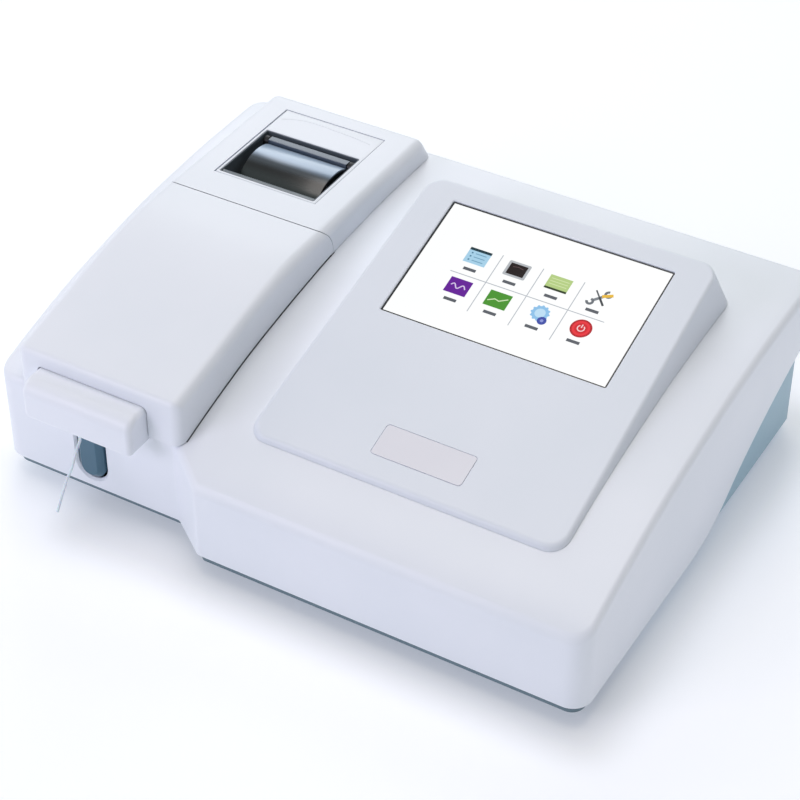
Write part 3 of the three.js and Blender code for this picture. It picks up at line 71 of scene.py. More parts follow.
def at(x, y, z):
    """A place in the casing's frame, in metres in the shared frame."""
    return Vector((x / 1000, shell_low.y + y / 1000, shell_low.z + z / 1000))


# Camera. The photograph was taken with a long lens from the right front, looking down on the deck, so
# parallel edges hardly converge. The lens and both angles follow from the edges of the deck and the screen.
camera_place = (558.6, -795.3, 921.9)
camera_yaw = 30.38
camera_pitch = 38.9
focal_share = 2245 / 800
sensor = 36


def put(name, data):
    """A new object in the scene."""
    item = bpy.data.objects.new(name, data)
    bpy.context.scene.collection.objects.link(item)
    return item


camera_data = bpy.data.cameras.new("camera")
camera_data.sensor_width = sensor
camera_data.lens = sensor * focal_share
camera = put("camera", camera_data)
camera.location = at(*camera_place)
camera.rotation_euler = (math.radians(90 - camera_pitch), 0, math.radians(camera_yaw))
bpy.context.scene.camera = camera


# Floor and light: a light table whose milky top glows a little from below, under large soft boxes, as in a
# product picture. Its glow keeps the shadows pale, and a cool sky of reflected light makes them bluish.
tone_stops = (0.35, 0.65)
table_glow = (0.355, 0.38, 0.45, 1)
# Under the instrument's front, short of its left end, the glow is dimmed as a painted shadow.
painted_shadow_left_gap = 75
painted_shadow_fade = 34
painted_shadow_glow = 0.74
open_floor_glow = 1.1


def linear(code):
    """An sRGB hex colour as linear values."""
    levels = [int(code[i:i + 2], 16) / 255 for i in (1, 3, 5)]
    return tuple(v / 12.92 if v <= 0.04045 else ((v + 0.055) / 1.055) ** 2.4 for v in levels) + (1.0,)


def add(tree, kind, values=None, links=None, **settings):
    """A shader or geometry node with its settings, input values and incoming links."""
    node = tree.nodes.new(kind)
    for name, value in settings.items():
        setattr(node, name, value)
    for name, value in (values or {}).items():
        node.inputs[name].default_value = value
    for name, source in (links or {}).items():
        tree.links.new(source, node.inputs[name])
    return node


def mottled(tree, place, pale, dark, scale, detail=3.0):
    """A colour that drifts softly between two tones."""
    noise = add(tree, "ShaderNodeTexNoise", {"Scale": scale, "Detail": detail}, {"Vector": place})
    ramp = add(tree, "ShaderNodeValToRGB", links={"Fac": noise.outputs["Fac"]})
    for stop, spot, tone in zip(ramp.color_ramp.elements, tone_stops, (dark, pale)):
        stop.position = spot
        stop.color = linear(tone)
    return ramp.outputs["Color"]


def surface(name, values, tones=None, haze=None, grain=None, extra=None):
    """A material whose tones drift. Its haze (scale, detail, least, most) varies the roughness, its grain
    (scale, detail, strength, depth) is a bump, and extra(tree, place) gives links of its own."""
    material = bpy.data.materials.new(name)
    material.use_nodes = True
    tree = material.node_tree
    tree.nodes.clear()
    place = add(tree, "ShaderNodeTexCoord").outputs["Object"]
    links = extra(tree, place) if extra else {}
    if tones:
        links["Base Color"] = mottled(tree, place, *tones)
    if haze:
        cloud = add(tree, "ShaderNodeTexNoise", {"Scale": haze[0], "Detail": haze[1]}, {"Vector": place})
        links["Roughness"] = add(tree, "ShaderNodeMapRange", {"To Min": haze[2], "To Max": haze[3]},
                                 {"Value": cloud.outputs["Fac"]}).outputs["Result"]
    if grain:
        relief = add(tree, "ShaderNodeTexNoise", {"Scale": grain[0], "Detail": grain[1]}, {"Vector": place})
        links["Normal"] = add(tree, "ShaderNodeBump", {"Strength": grain[2], "Distance": grain[3]},
                              {"Height": relief.outputs["Fac"]}).outputs["Normal"]
    shader = add(tree, "ShaderNodeBsdfPrincipled", values, links)
    add(tree, "ShaderNodeOutputMaterial", links={"Surface": shader.outputs[0]})
    return material


def glow_with_painted_shadow(tree, place):
    """The table's own glow, dimmed under the instrument's front as a painted shadow."""
    middle = add(tree, "ShaderNodeVectorMath", {1: at(painted_shadow_left_gap / 2, depth / 2, 0)}, {0: place},
                 operation="SUBTRACT")
    aside = add(tree, "ShaderNodeVectorMath", links={0: middle.outputs["Vector"]}, operation="ABSOLUTE")
    size = ((half - painted_shadow_left_gap / 2) / 1000, depth / 2000, 1)
    past = add(tree, "ShaderNodeVectorMath", {1: size}, {0: aside.outputs["Vector"]}, operation="SUBTRACT")
    outside = add(tree, "ShaderNodeVectorMath", {1: (0, 0, 0)}, {0: past.outputs["Vector"]},
                  operation="MAXIMUM")
    away = add(tree, "ShaderNodeVectorMath", links={0: outside.outputs["Vector"]}, operation="LENGTH")
    glow = add(tree, "ShaderNodeMapRange",
               {"From Max": painted_shadow_fade / 1000, "To Min": painted_shadow_glow, "To Max": open_floor_glow},
               {"Value": away.outputs["Value"]}, interpolation_type="SMOOTHSTEP")
    return {"Emission Strength": glow.outputs["Result"]}


# Opal acrylic: an even satin white with a weak glow of its own. Its glow is dimmed under the instrument's
# front as a painted shadow.
opal_acrylic = surface("opal_acrylic", {
    "Roughness": 0.55, "Specular IOR Level": 0.25, "Emission Color": table_glow},
    ("#D9D7D2", "#D6D4CF", 2.0), extra=glow_with_painted_shadow)
floor_size = 8000
floor_level = -base_drop - (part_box("base_tray")[0].z - frame_bounds[0][2]) * 1000
floor_mesh = bpy.data.meshes.new("floor")
floor_mesh.from_pydata([at(x * floor_size / 2, y * floor_size / 2, floor_level)
                        for x, y in ((-1, -1), (1, -1), (1, 1), (-1, 1))], [], [(0, 1, 2, 3)])
floor_mesh.materials.append(opal_acrylic)
put("floor", floor_mesh)

horizon_tone = (0.4, 0.465, 0.485, 1)
zenith_tone = (0.28, 0.325, 0.34, 1)
sky_rise = {"From Min": 0.04, "From Max": 0.4}
darker_right = {"From Min": -0.3, "From Max": 0.7, "To Min": 1.15, "To Max": 0.45}
world = bpy.data.worlds.new("studio")
world.use_nodes = True
tree = world.node_tree
direction = add(tree, "ShaderNodeTexCoord").outputs["Generated"]
heading = add(tree, "ShaderNodeSeparateXYZ", links={"Vector": direction}).outputs
fade = add(tree, "ShaderNodeMapRange", sky_rise, {"Value": heading["Z"]}, interpolation_type="SMOOTHSTEP")
sky = add(tree, "ShaderNodeValToRGB", links={"Fac": fade.outputs["Result"]})
sky.color_ramp.elements[0].color = horizon_tone
sky.color_ramp.elements[1].color = zenith_tone
shade = add(tree, "ShaderNodeMapRange", darker_right, {"Value": heading["X"]},
            interpolation_type="SMOOTHSTEP")
tree.links.new(sky.outputs["Color"], tree.nodes["Background"].inputs["Color"])
tree.links.new(shade.outputs["Result"], tree.nodes["Background"].inputs["Strength"])
bpy.context.scene.world = world
bpy.context.scene.view_settings.view_transform = "Standard"

light_boxes = [
    ("top_box", (0, 200, 2000), 1500, 18.5, "#FFF7F2"),
    ("front_box", (-900, -1500, 900), 900, 11, "#F1E8FF"),
    ("side_box", (1300, 300, 60), 600, 2.6, "#FEF9FF"),
    ("back_box", (-1000, 2000, 1250), 1350, 14, "#F4F9FF"),
    ("left_box", (-1800, 100, 700), 900, 2.4, "#FFF0E2"),
]
light_aim = at(0, depth / 2, 60)
for name, place, size, power, colour in light_boxes:
    light = bpy.data.lights.new(name, "AREA")
    light.shape = "SQUARE"
    light.size = size / 1000
    light.energy = power
    light.color = linear(colour)[:3]
    lamp = put(name, light)
    lamp.location = at(*place)
    lamp.rotation_euler = (light_aim - lamp.location).to_track_quat("-Z", "Y").to_euler()


# Main shell: one injection moulding of white ABS with a three millimetre wall, spark-eroded to a fine satin
# grain. Its deck rises to the back in one curve, its left front stands back, and its lower edge sweeps up to
# the rear.
def moulded(name, pale, dark, roughness=0.42, grain=0.5, bite=0.015, gloss=0.4):
    """Moulded plastic: soft drifts of tone and a fine spark-eroded grain, drawn coarse enough to show."""
    return surface(name, {"Specular IOR Level": gloss}, (pale, dark, 9.0),
                   (60.0, 4.0, roughness - 0.03, roughness + 0.04), (1000 / grain, 2.0, 0.6, bite / 1000))


def rounded(corners, steps=10):
    """Corners (x, y, radius) with their arcs. A corner without a radius stays sharp."""
    points = []
    for i, (x, y, radius) in enumerate(corners):
        if radius == 0:
            points.append((x, y))
            continue
        tip = Vector((x, y))
        back = (Vector(corners[i - 1][:2]) - tip).normalized()
        ahead = (Vector(corners[(i + 1) % len(corners)][:2]) - tip).normalized()
        opening = math.acos(max(-1, min(1, back.dot(ahead)))) / 2
        centre = tip + (back + ahead).normalized() * (radius / math.sin(opening))
        start = tip + back * (radius / math.tan(opening)) - centre
        end = tip + ahead * (radius / math.tan(opening)) - centre
        turn = math.atan2(start.x * end.y - start.y * end.x, start.dot(end))
        for step in range(steps + 1):
            point = centre + Matrix.Rotation(turn * step / steps, 2) @ start
            points.append((point.x, point.y))
    return points


least_radius = 0.3


def inset(corners, distance):
    """Corners, counter-clockwise, moved inwards. Outer corners get tighter and inner ones wider."""
    moved = []
    for i, (x, y, radius) in enumerate(corners):
        px, py = corners[i - 1][:2]
        nx, ny = corners[(i + 1) % len(corners)][:2]
        come = math.hypot(x - px, y - py)
        leave = math.hypot(nx - x, ny - y)
        ax, ay = (x - px) / come, (y - py) / come
        bx, by = (nx - x) / leave, (ny - y) / leave
        turn = ax * by - ay * bx
        spread = distance / (1 + ax * bx + ay * by)
        tighter = radius - math.copysign(distance, turn)
        moved.append((x - (ay + by) * spread, y + (ax + bx) * spread,
                      max(tighter, least_radius) if radius else 0))
    return moved


def flowing(shares, along, up, count):
    """A smooth line through points given as shares of two sizes."""
    points = [Vector((a * along, b * up)) for a, b in shares]
    last = len(points) - 1
    line = []
    for step in range(count + 1):
        place = last * step / count
        i = min(int(place), last - 1)
        t = place - i
        p, q, r, s = (points[min(max(j, 0), last)] for j in (i - 1, i, i + 1, i + 2))
        v, w = (r - p) / 2, (s - q) / 2
        point = (q * 2 - r * 2 + v + w) * t ** 3 + (r * 3 - q * 3 - v * 2 - w) * t ** 2 + v * t + q
        line.append((point.x, point.y))
    return line


def height_on(line, y):
    """The height of a line of points at a depth."""
    if y <= line[0][0]:
        return line[0][1]
    for (y0, z0), (y1, z1) in zip(line, line[1:]):
        if y <= y1:
            return z0 + (z1 - z0) * (y - y0) / (y1 - y0)
    return line[-1][1]


def mesh_object(name, points, faces, weld=True):
    """An object from points in the casing's millimetres, with its faces turned outwards."""
    mesh = bpy.data.meshes.new(name)
    mesh.from_pydata([at(*point) for point in points], [], faces)
    shape = bmesh.new()
    shape.from_mesh(mesh)
    if weld:
        bmesh.ops.remove_doubles(shape, verts=shape.verts, dist=1e-7)
    bmesh.ops.recalc_face_normals(shape, faces=shape.faces)
    shape.to_mesh(mesh)
    shape.free()
    return put(name, mesh)


def skin(rings, closed=False):
    """Faces between rings of as many points each, joined back to the first ring if the skin is closed."""
    count = len(rings[0])
    faces = []
    for level in range(len(rings) if closed else len(rings) - 1):
        low = level * count
        high = (level + 1) % len(rings) * count
        for i in range(count):
            j = (i + 1) % count
            faces.append((low + i, low + j, high + j, high + i))
    return faces


def loft(name, rings, closed=False):
    """A solid through rings of points, with flat ends, or joined back to its first ring."""
    count = len(rings[0])
    points = [point for ring in rings for point in ring]
    last = len(points) - count
    ends = [] if closed else [tuple(range(count)), tuple(range(last, last + count))]
    return mesh_object(name, points, skin(rings, closed) + ends)


def bake(piece):
    """Makes the result of an object's modifiers its mesh."""
    graph = bpy.context.evaluated_depsgraph_get()
    mesh = bpy.data.meshes.new_from_object(piece.evaluated_get(graph))
    piece.modifiers.clear()
    piece.data = mesh
    return piece


def carve(piece, cutter, operation="DIFFERENCE"):
    """Cuts, joins or crosses a piece with a cutter, which is used up."""
    modifier = piece.modifiers.new("carve", "BOOLEAN")
    modifier.operation = operation
    modifier.solver = "MANIFOLD"
    modifier.object = cutter
    bake(piece)
    bpy.data.objects.remove(cutter)
    return piece


def box(name, xs, ys, zs):
    """A plain cutter or block between two corners."""
    ring = [(xs[0], ys[0]), (xs[1], ys[0]), (xs[1], ys[1]), (xs[0], ys[1])]
    return loft(name, [[(x, y, z) for x, y in ring] for z in zs])


def around(middle, reach):
    return (middle - reach, middle + reach)


record = frame["record"]
body_of = {node: body for body, nodes in record["behaviour"]["bodies"].items() for node in nodes}


def dress(piece, node, material, sharp=30):
    """Gives a finished piece its material and the body of a node."""
    piece.data.materials.clear()
    piece.data.materials.append(material)
    piece.data.shade_smooth()
    piece.data.set_sharp_from_angle(angle=math.radians(sharp))
    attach(piece, body_of[node])


def settle(piece, nodes, material, sharp=30):
    """Dresses a finished piece that stands for its node or nodes."""
    nodes = [nodes] if isinstance(nodes, str) else nodes
    dress(piece, nodes[0], material, sharp)
    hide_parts(*nodes)


deck_height = 104
deck_shares = [
    (0, 0.505), (0.02, 0.55), (0.056, 0.601), (0.131, 0.678), (0.206, 0.745), (0.291, 0.8125), (0.406, 0.88),
    (0.516, 0.933), (0.594, 0.9615), (0.75, 0.993), (0.8625, 1), (1, 1),
]
sweep_height = 64
sweep_shares = [
    (0.46, 0), (0.53, 0.05), (0.59, 0.18), (0.66, 0.39), (0.75, 0.6), (0.84, 0.77), (0.94, 0.93), (1, 1),
]
casing_wall = 3
inner_round = 0.4
corner_radius = 13
crease = 4.5
lower_round = 0.9
left_setback = 20
left_front = -half + 134
slant_end = left_front + 27
step_radius = 6
mesh_spacing = 8
play = 0.5
overrun = 2
high = 200

plan_corners = [
    (-half, left_setback, corner_radius),
    (left_front, left_setback, step_radius),
    (slant_end, 0, step_radius),
    (half, 0, corner_radius),
    (half, depth, corner_radius),
    (-half, depth, corner_radius),
]
deck_line = flowing(deck_shares, depth, deck_height, 110)
sweep_line = flowing(sweep_shares, depth, sweep_height, 56)


def deck(y):
    return height_on(deck_line, y)


def sweep(y):
    return height_on(sweep_line, y)


def straight_counts(points, spacing):
    """How many parts each stretch of a closed outline gets."""
    return [max(1, round(math.dist(a, b) / spacing)) for a, b in zip(points, points[1:] + points[:1])]


def subdivided(points, counts):
    """A closed outline with each stretch in equal parts."""
    dense = []
    for (ax, ay), (bx, by), count in zip(points, points[1:] + points[:1], counts):
        dense += [(ax + (bx - ax) * k / count, ay + (by - ay) * k / count) for k in range(count)]
    return dense


plan_counts = straight_counts(rounded(plan_corners), mesh_spacing)


def plan_ring(distance):
    return subdivided(rounded(inset(plan_corners, distance)), plan_counts)


def deck_cap(ring, first, rise):
    """Points inside a ring on the deck, and triangles that join them to the ring."""
    margin = crease + mesh_spacing * 0.6
    grid = []
    for i in range(1, int(2 * half / mesh_spacing)):
        for j in range(1, int(depth / mesh_spacing)):
            x = -half + i * mesh_spacing
            y = j * mesh_spacing
            front = left_setback if x < slant_end + margin else 0
            if abs(x) < half - margin and front + margin < y < depth - margin:
                grid.append((x, y))
    count = len(ring)
    flat = [Vector(point[:2]) for point in ring] + [Vector(point) for point in grid]
    found = delaunay_2d_cdt(flat, [], [list(range(count))], 1, 1e-5)
    source = [origin[0] for origin in found[3]]
    number = [first + i if i < count else count - 1 - i for i in source]
    return [(x, y, deck(y) + rise) for x, y in grid], [[number[i] for i in face] for face in found[2]]


def quarter(steps, first=0):
    """Angles through a quarter turn."""
    return [math.pi / 2 * step / steps for step in range(first, steps + 1)]


def shell_body():
    """Wall rings from the outer deck edge, round the lower edge and up inside, closed by both decks."""
    lower = [sweep(y) for _, y in plan_ring(0)]
    inner = crease - casing_wall
    stations = [(crease * (1 - math.cos(turn)), crease * (1 - math.sin(turn)), None)
                for turn in reversed(quarter(8))]
    stations += [(lower_round * (1 - math.sin(turn)), None, lower_round * (1 - math.cos(turn)))
                 for turn in reversed(quarter(4))]
    stations += [(casing_wall - inner_round, None, 0), (casing_wall, None, inner_round)]
    stations += [(casing_wall + inner * (1 - math.cos(turn)), casing_wall + inner * (1 - math.sin(turn)),
                  None) for turn in quarter(4)]
    rings = []
    for distance, below_deck, above_edge in stations:
        ring = plan_ring(distance)
        if below_deck is None:
            rings.append([(x, y, lower[i] + above_edge) for i, (x, y) in enumerate(ring)])
        else:
            rings.append([(x, y, deck(y) - below_deck) for x, y in ring])
    points = [point for ring in rings for point in ring]
    faces = skin(rings)
    for ring, first, rise in ((rings[0], 0, 0), (rings[-1], len(points) - len(rings[0]), -casing_wall)):
        inside, triangles = deck_cap(ring, first, rise)
        base = len(points)
        faces += [tuple(i if i >= 0 else base - 1 - i for i in triangle) for triangle in triangles]
        points += inside
    return mesh_object("main_shell_moulding", points, faces)


def key_outline(width, bottom, top, steps=24):
    """A flat top, straight sides and a round bottom."""
    radius = width / 2
    turns = [math.pi * (1 + step / steps) for step in range(steps + 1)]
    return [(radius, top), (-radius, top)] + [
        (radius * math.cos(turn), bottom + radius + radius * math.sin(turn)) for turn in turns]


def along_y(name, outline, middle, stations):
    """A solid whose outline in X and Z is pushed along Y, moved inwards by a distance at each station."""
    corners = [(x, z, 0) for x, z in outline]
    rings = [[(middle + x, y, z) for x, z, _ in inset(corners, distance)] for y, distance in stations]
    return loft(name, rings)


def circle(radius, sides):
    """Points round a circle about zero."""
    turns = [2 * math.pi * i / sides for i in range(sides)]
    return [(radius * math.cos(turn), radius * math.sin(turn)) for turn in turns]


def turned(name, profile, middle, axis, sides=48, hollow=False):
    """A turned solid about an axis: its radius at each distance along it. A hollow one closes on itself."""
    x, y, z = middle
    rings = []
    for radius, along in profile:
        if axis == "X":
            rings.append([(x + along, y + a, z + b) for a, b in circle(radius, sides)])
        elif axis == "Y":
            rings.append([(x + a, y + along, z + b) for a, b in circle(radius, sides)])
        else:
            rings.append([(x + a, y + b, z + along) for a, b in circle(radius, sides)])
    return loft(name, rings, hollow)


module_x = -half + 82
module_width = 120
bay_width = module_width + play * 2
bay_front = left_setback + casing_wall
lid_seam = 180
hinge_setback = 16.7
hinge_drop = 21
module_top = 121
hinge_y = lid_seam - hinge_setback
hinge_z = module_top - hinge_drop
curl_radius = math.hypot(hinge_setback, hinge_drop)
bay_back = hinge_y + curl_radius + play * 2
printer_x = -half + 80.75
printer_y = 235.85
opening_width = 70.5
opening_length = 55.5
bucket_wall = 2.5
display_x = half - 142.25
display_back = 254
cable_slot = (40, 12)
key_x = -half + 69.5
key_width = 19
key_opening = 22
key_top = 57
key_bottom = 6.5
opening_chamfer = 1.5
boss_radius = 5
boss_split = 12
screw_clearance = 2.2
boss_places = [(half - 22, 30), (half - 22, depth - 22), (-half + 22, depth - 22), (-half + 154, 37)]

shell = shell_body()
carve(shell, box("bay", around(module_x, bay_width / 2), (bay_front, bay_back), (deck_height / 2, high)))
carve(shell, box("bucket", around(printer_x, opening_width / 2 + bucket_wall + play),
                 around(printer_y, opening_length / 2 + bucket_wall + play), (deck_height / 2, high)))
carve(shell, box("slot", around(display_x, cable_slot[0] / 2),
                 around(display_back - cable_slot[1], cable_slot[1] / 2), (deck_height / 2, high)))
carve(shell, along_y("key_hole", key_outline(key_opening, key_bottom, key_top), key_x, [
    (left_setback - overrun, -opening_chamfer - overrun), (left_setback + opening_chamfer, 0),
    (left_setback + casing_wall + overrun, 0)]))
for x, y in boss_places:
    boss_top = deck(y) - casing_wall * 0.7
    carve(shell, turned("boss", [
        (boss_radius, boss_split), (boss_radius, boss_top), (screw_clearance, boss_top),
        (screw_clearance, boss_split)], (x, y, 0), "Z", 24, True), "UNION")
# White ABS: cool, even and softly shiny, with hardly any grain at arm's length.
white_abs = moulded("white_abs", "#ECEFF6", "#E8ECF3", 0.36, 0.45, 0.01)
settle(shell, "main_shell", white_abs, 28)


# Display bezel: a drafted wedge of pale satin ABS that stands on the deck and carries the touch screen
# under a rectangular window. Its top plane tilts to the front, and a rounded edge runs all round it.
display_width = 209.5
display_front = 40
display_foot_back = 269
display_top = 135.4
display_tilt = math.radians(16.1)
display_skin = 2.5
display_draft = 5
display_lip = 1.2
display_corner = 12
display_edge = 2.4
seam = 0.3
screen_width = 153.5
screen_height = 95.5
screen_margin = 14.4
screen_y = -(screen_margin + screen_height / 2)
plate_width = 60
plate_height = 22
plate_x = 1.5
plate_y = -195
plate_recess = 0.6
plate_gap = 0.45


def on_display(x, y, z):
    """A point given on the tilted top, about the middle of its rear edge."""
    return (display_x + x, display_back + y * math.cos(display_tilt) - z * math.sin(display_tilt),
            display_top + y * math.sin(display_tilt) + z * math.cos(display_tilt))


def display_rings(distance, edge):
    """From the foot on the deck up the drafted walls, over a rounded edge, to the tilted top."""
    left, right = around(display_x, display_width / 2)
    foot = [(left, display_front, display_corner), (right, display_front, display_corner),
            (right, display_foot_back, display_corner), (left, display_foot_back, display_corner)]
    crown = [(left + display_lip, display_front + display_lip, display_corner),
             (right - display_lip, display_front + display_lip, display_corner),
             (right - display_draft, display_back, display_corner),
             (left + display_draft, display_back, display_corner)]
    counts = straight_counts(rounded(foot), mesh_spacing)

    def flat(corners, more):
        return subdivided(rounded(inset(corners, distance + more)), counts)

    def top(y):
        return display_top - distance / math.cos(display_tilt) + (y - display_back) * math.tan(display_tilt)

    low = [Vector((x, y, deck(y) + seam if distance == 0 else deck_height / 3)) for x, y in flat(foot, 0)]
    sharp = [Vector((x, y, top(y))) for x, y in flat(crown, 0)]
    if edge == 0:
        return [low, sharp]
    rings = [low]
    inner = [Vector((x, y, top(y))) for x, y in flat(crown, edge)]
    below = [tip + (foot_point - tip).normalized() * edge for foot_point, tip in zip(low, sharp)]
    for step in range(9):
        t = step / 8
        rings.append([a * (1 - t) ** 2 + b * 2 * t * (1 - t) + c * t * t
                      for a, b, c in zip(below, sharp, inner)])
    return rings


def plate(name, place, corners, stations, steps=6):
    """A rounded plate in a place's own axes: its outline moved inwards by a distance at each height."""
    return loft(name, [[place(x, y, z) for x, y in rounded(inset(corners, distance), steps)]
                       for z, distance in stations])


def rectangle(x, y, wide, long, radius):
    """Four corners about a middle, counter-clockwise."""
    left, right = around(x, wide / 2)
    front, back = around(y, long / 2)
    return [(left, front, radius), (right, front, radius), (right, back, radius), (left, back, radius)]


window_corner = 1.2
window_chamfer = 0.5
bezel = loft("display_bezel_moulding", display_rings(0, display_edge))
carve(bezel, loft("inside", display_rings(display_skin, 0)))
window = rectangle(0, screen_y, screen_width, screen_height, window_corner)
carve(bezel, plate("window", on_display, window, [
    (-high / 4, 0), (-window_chamfer, 0), (overrun, -overrun - window_chamfer)]))
label_seat = rectangle(plate_x, plate_y, plate_width + plate_gap * 2, plate_height + plate_gap * 2,
                       window_corner * 2)
carve(bezel, plate("label_seat", on_display, label_seat, [(-plate_recess, 0), (overrun, 0)]))
# Pale ABS: the same moulding as the shell in a tone a little deeper.
pale_abs = moulded("pale_abs", "#E5E9F1", "#E1E6EE", 0.38, 0.45, 0.01)
settle(bezel, "display_bezel", pale_abs, 24)


# Sample lid: the front two thirds of the raised left module, a 2.5 mm shell of white ABS with rounded sides,
# hinged at its back. Its rear wall curls about the hinge, so that it turns clear of the printer cover.
module_wall = 2.5
module_edge = 7
module_back_slope = 11
lid_overhang = 3
lid_front = left_setback - lid_overhang
module_back = depth - lid_overhang
lid_front_round = 5
lid_front_share = 0.783
lid_top_shares = [
    (1, 1), (0.91, 1), (0.8, 0.997), (0.69, 0.983), (0.564, 0.955), (0.43, 0.917), (0.294, 0.873),
    (0.15, 0.829), (0, lid_front_share),
]
lid_top_stop = 0.045
lid_lift = 0.7
lid_gap = 0.4
bay_floor_top = 62.5


def along_x(name, corners, x0, x1, edge=0, steps=10):
    """A solid whose outline in Y and Z is pushed along X, with its end edges rounded."""
    stations = [(edge * (1 - math.cos(t)), edge * (1 - math.sin(t))) for t in quarter(steps)]
    if edge == 0:
        stations = [(0, 0)]
    near = [(x0 + along, distance) for distance, along in reversed(stations)]
    far = [(x1 - along, distance) for distance, along in stations]
    rings = [[(x, y, z) for y, z in rounded(inset(corners, distance))] for x, distance in near + far]
    return loft(name, rings)


def module_solid(name, distance):
    """The raised module as one rounded form, moved inwards."""
    low = bay_floor_top - module_edge * 2
    top = [(lid_front + y * (lid_seam - lid_front), z * module_top, 0)
           for y, z in flowing(lid_top_shares, 1, 1, 64) if y > lid_top_stop]
    corners = [(lid_front, low, 0), (module_back, low, 0), (module_back, deck_height, 0),
               (module_back - module_back_slope, module_top, module_edge), *top,
               (lid_front, lid_front_share * module_top, lid_front_round)]
    return along_x(name, inset(corners, distance), *around(module_x, module_width / 2 - distance),
                   module_edge - distance)


def rod(name, radius, x0, x1, y, z, sides=48, edge=0.0):
    """A rod along X, with its end edges broken by a small chamfer."""
    profile = [(radius, x0), (radius, x1)]
    if edge:
        profile = [(radius - edge, x0), (radius, x0 + edge), (radius, x1 - edge), (radius - edge, x1)]
    return turned(name, profile, (0, y, z), "X", sides)


def lid_space(radius):
    """What lies in front of the arc about the lid's hinge."""
    reach = around(module_x, module_width / 2 + overrun)
    space = rod("arc", radius, *reach, hinge_y, hinge_z, 240)
    return carve(space, box("front", reach, (-overrun, hinge_y), (0, high)), "UNION")


def module_shell(name, arc, wall, operation):
    """The module's moulding on one side of an arc about the hinge, hollow inside."""
    hollow = carve(module_solid("hollow", module_wall), lid_space(arc + wall), operation)
    return carve(carve(module_solid(name, 0), lid_space(arc), operation), hollow)


def under_deck(rise):
    """The space below the deck line, moved up, across the module."""
    back = deck_line[-1][1] + rise
    corners = [(-overrun, -overrun, 0), (depth + overrun, -overrun, 0), (depth + overrun, back, 0)]
    corners += [(y, z + rise, 0) for y, z in reversed(deck_line)] + [(-overrun, deck_line[0][1] + rise, 0)]
    return along_x("deck_space", corners, *around(module_x, module_width / 2 + overrun))


block_width = 80
block_x = -half + 78
block_top = 84.5
notch_round = 4
ear_radius = 6
ear_thickness = 4.5
lid_pin_radius = 2
pin_cover = 1.5

lid = module_shell("sample_lid_moulding", curl_radius, -module_wall, "INTERSECT")
for side in (-1, 1):
    outer = module_x + side * module_width / 2
    inner = outer - side * ear_thickness
    ear_span = sorted((outer, inner))
    ear = rod("ear", ear_radius, *ear_span, hinge_y, hinge_z)
    carve(ear, box("ear_stem", ear_span, around(hinge_y, ear_radius), (hinge_z, module_top - module_wall)),
          "UNION")
    carve(ear, module_solid("limit", seam), "INTERSECT")
    carve(lid, ear, "UNION")
    bore_span = sorted((inner - side * overrun, outer - side * (pin_cover - seam)))
    carve(lid, rod("bore", lid_pin_radius + seam, *bore_span, hinge_y, hinge_z, 24))
carve(lid, under_deck(lid_lift))
notch_half = block_width / 2 + play
notch = [(-notch_half, 0, 0), (notch_half, 0, 0), (notch_half, block_top + play, notch_round),
         (-notch_half, block_top + play, notch_round)]
carve(lid, along_y("notch", rounded(notch), block_x, [(-overrun, 0), (left_setback + play, 0)]))
settle(lid, "sample_lid", white_abs, 24)


# Printer cover: the fixed rear third of the raised module, moulded like the lid and screwed from inside. Its
# front edge follows the lid's arc a hair's breadth away, and its top has the seat for the printer's panel.
panel_side = 3.25
panel_front = 3
panel_back = 28.75
panel_half = opening_width / 2 + panel_side
panel_range = (printer_y - opening_length / 2 - panel_front, printer_y + opening_length / 2 + panel_back)

cover = module_shell("printer_cover_moulding", curl_radius + lid_gap, module_wall, "DIFFERENCE")
carve(cover, under_deck(seam))
carve(cover, box("panel_seat", around(printer_x, panel_half + seam),
                 (panel_range[0] - seam, panel_range[1] + seam), (deck_height, high)))
settle(cover, "printer_cover", white_abs, 24)


# Touch screen: a seven inch panel behind a clear touch film, held against the back of the bezel. Its edge is
# printed black, and it shows a plain menu: eight generic icons in two rows, with a grey bar under each.
screen_recess = 1.2
screen_module = 4.5
screen_rim = 5
printed_edge = 1.3
film = 0.05
icon_width = 15
icon_height = 12
icon_columns = (-41, -13.5, 15, 43)
icon_rows = (-49.5, -75)
label_drop = 10.8
label_size = (8.6, 2.2)
divider_columns = (-26.8, 1.2, 29.3)
divider_span = (-90, -42)
divider_row = -65.4
divider_reach = (-51.7, 53.7)
divider_width = 0.6
menu_lines = "#B4B9C1"
menu_labels = "#5A5E66"

menu = []


def patch(outline, tone, layer=1):
    """A flat patch of one colour in the picture, over the patches of lower layers."""
    menu.append((outline, tone, layer))


def bar(x, y, wide, tall, tone, layer=1, radius=0.0):
    patch(rounded(rectangle(x, y, wide, tall, radius), 4), tone, layer)


def disc(x, y, radius, tone, layer=1, sides=40):
    patch([(x + a, y + b) for a, b in circle(radius, sides)], tone, layer)


def stroke(points, thick, tone, layer=2):
    """A line of an even thickness through points."""
    left, right = [], []
    for i, (x, y) in enumerate(points):
        ax, ay = points[max(i - 1, 0)]
        bx, by = points[min(i + 1, len(points) - 1)]
        length = math.hypot(bx - ax, by - ay)
        nx = (ay - by) / length * thick / 2
        ny = (bx - ax) / length * thick / 2
        left.append((x + nx, y + ny))
        right.append((x - nx, y - ny))
    patch(right + left[::-1], tone, layer)


def arc(x, y, radius, start, end, steps=20):
    turns = [math.radians(start + (end - start) * step / steps) for step in range(steps + 1)]
    return [(x + radius * math.cos(turn), y + radius * math.sin(turn)) for turn in turns]


def list_icon(x, y):
    bar(x, y, icon_width, icon_height, "#A6D0E8")
    bar(x, y + icon_height / 2 - 1, icon_width, 2, "#1D3943", 2)
    for row in range(3):
        bar(x - 4.6, y + 2 - row * 2.8, 1.1, 1.1, "#4C7C99", 2)
        bar(x + 1.4, y + 2 - row * 2.8, 7.6, 0.6, "#6E9DB8", 2)


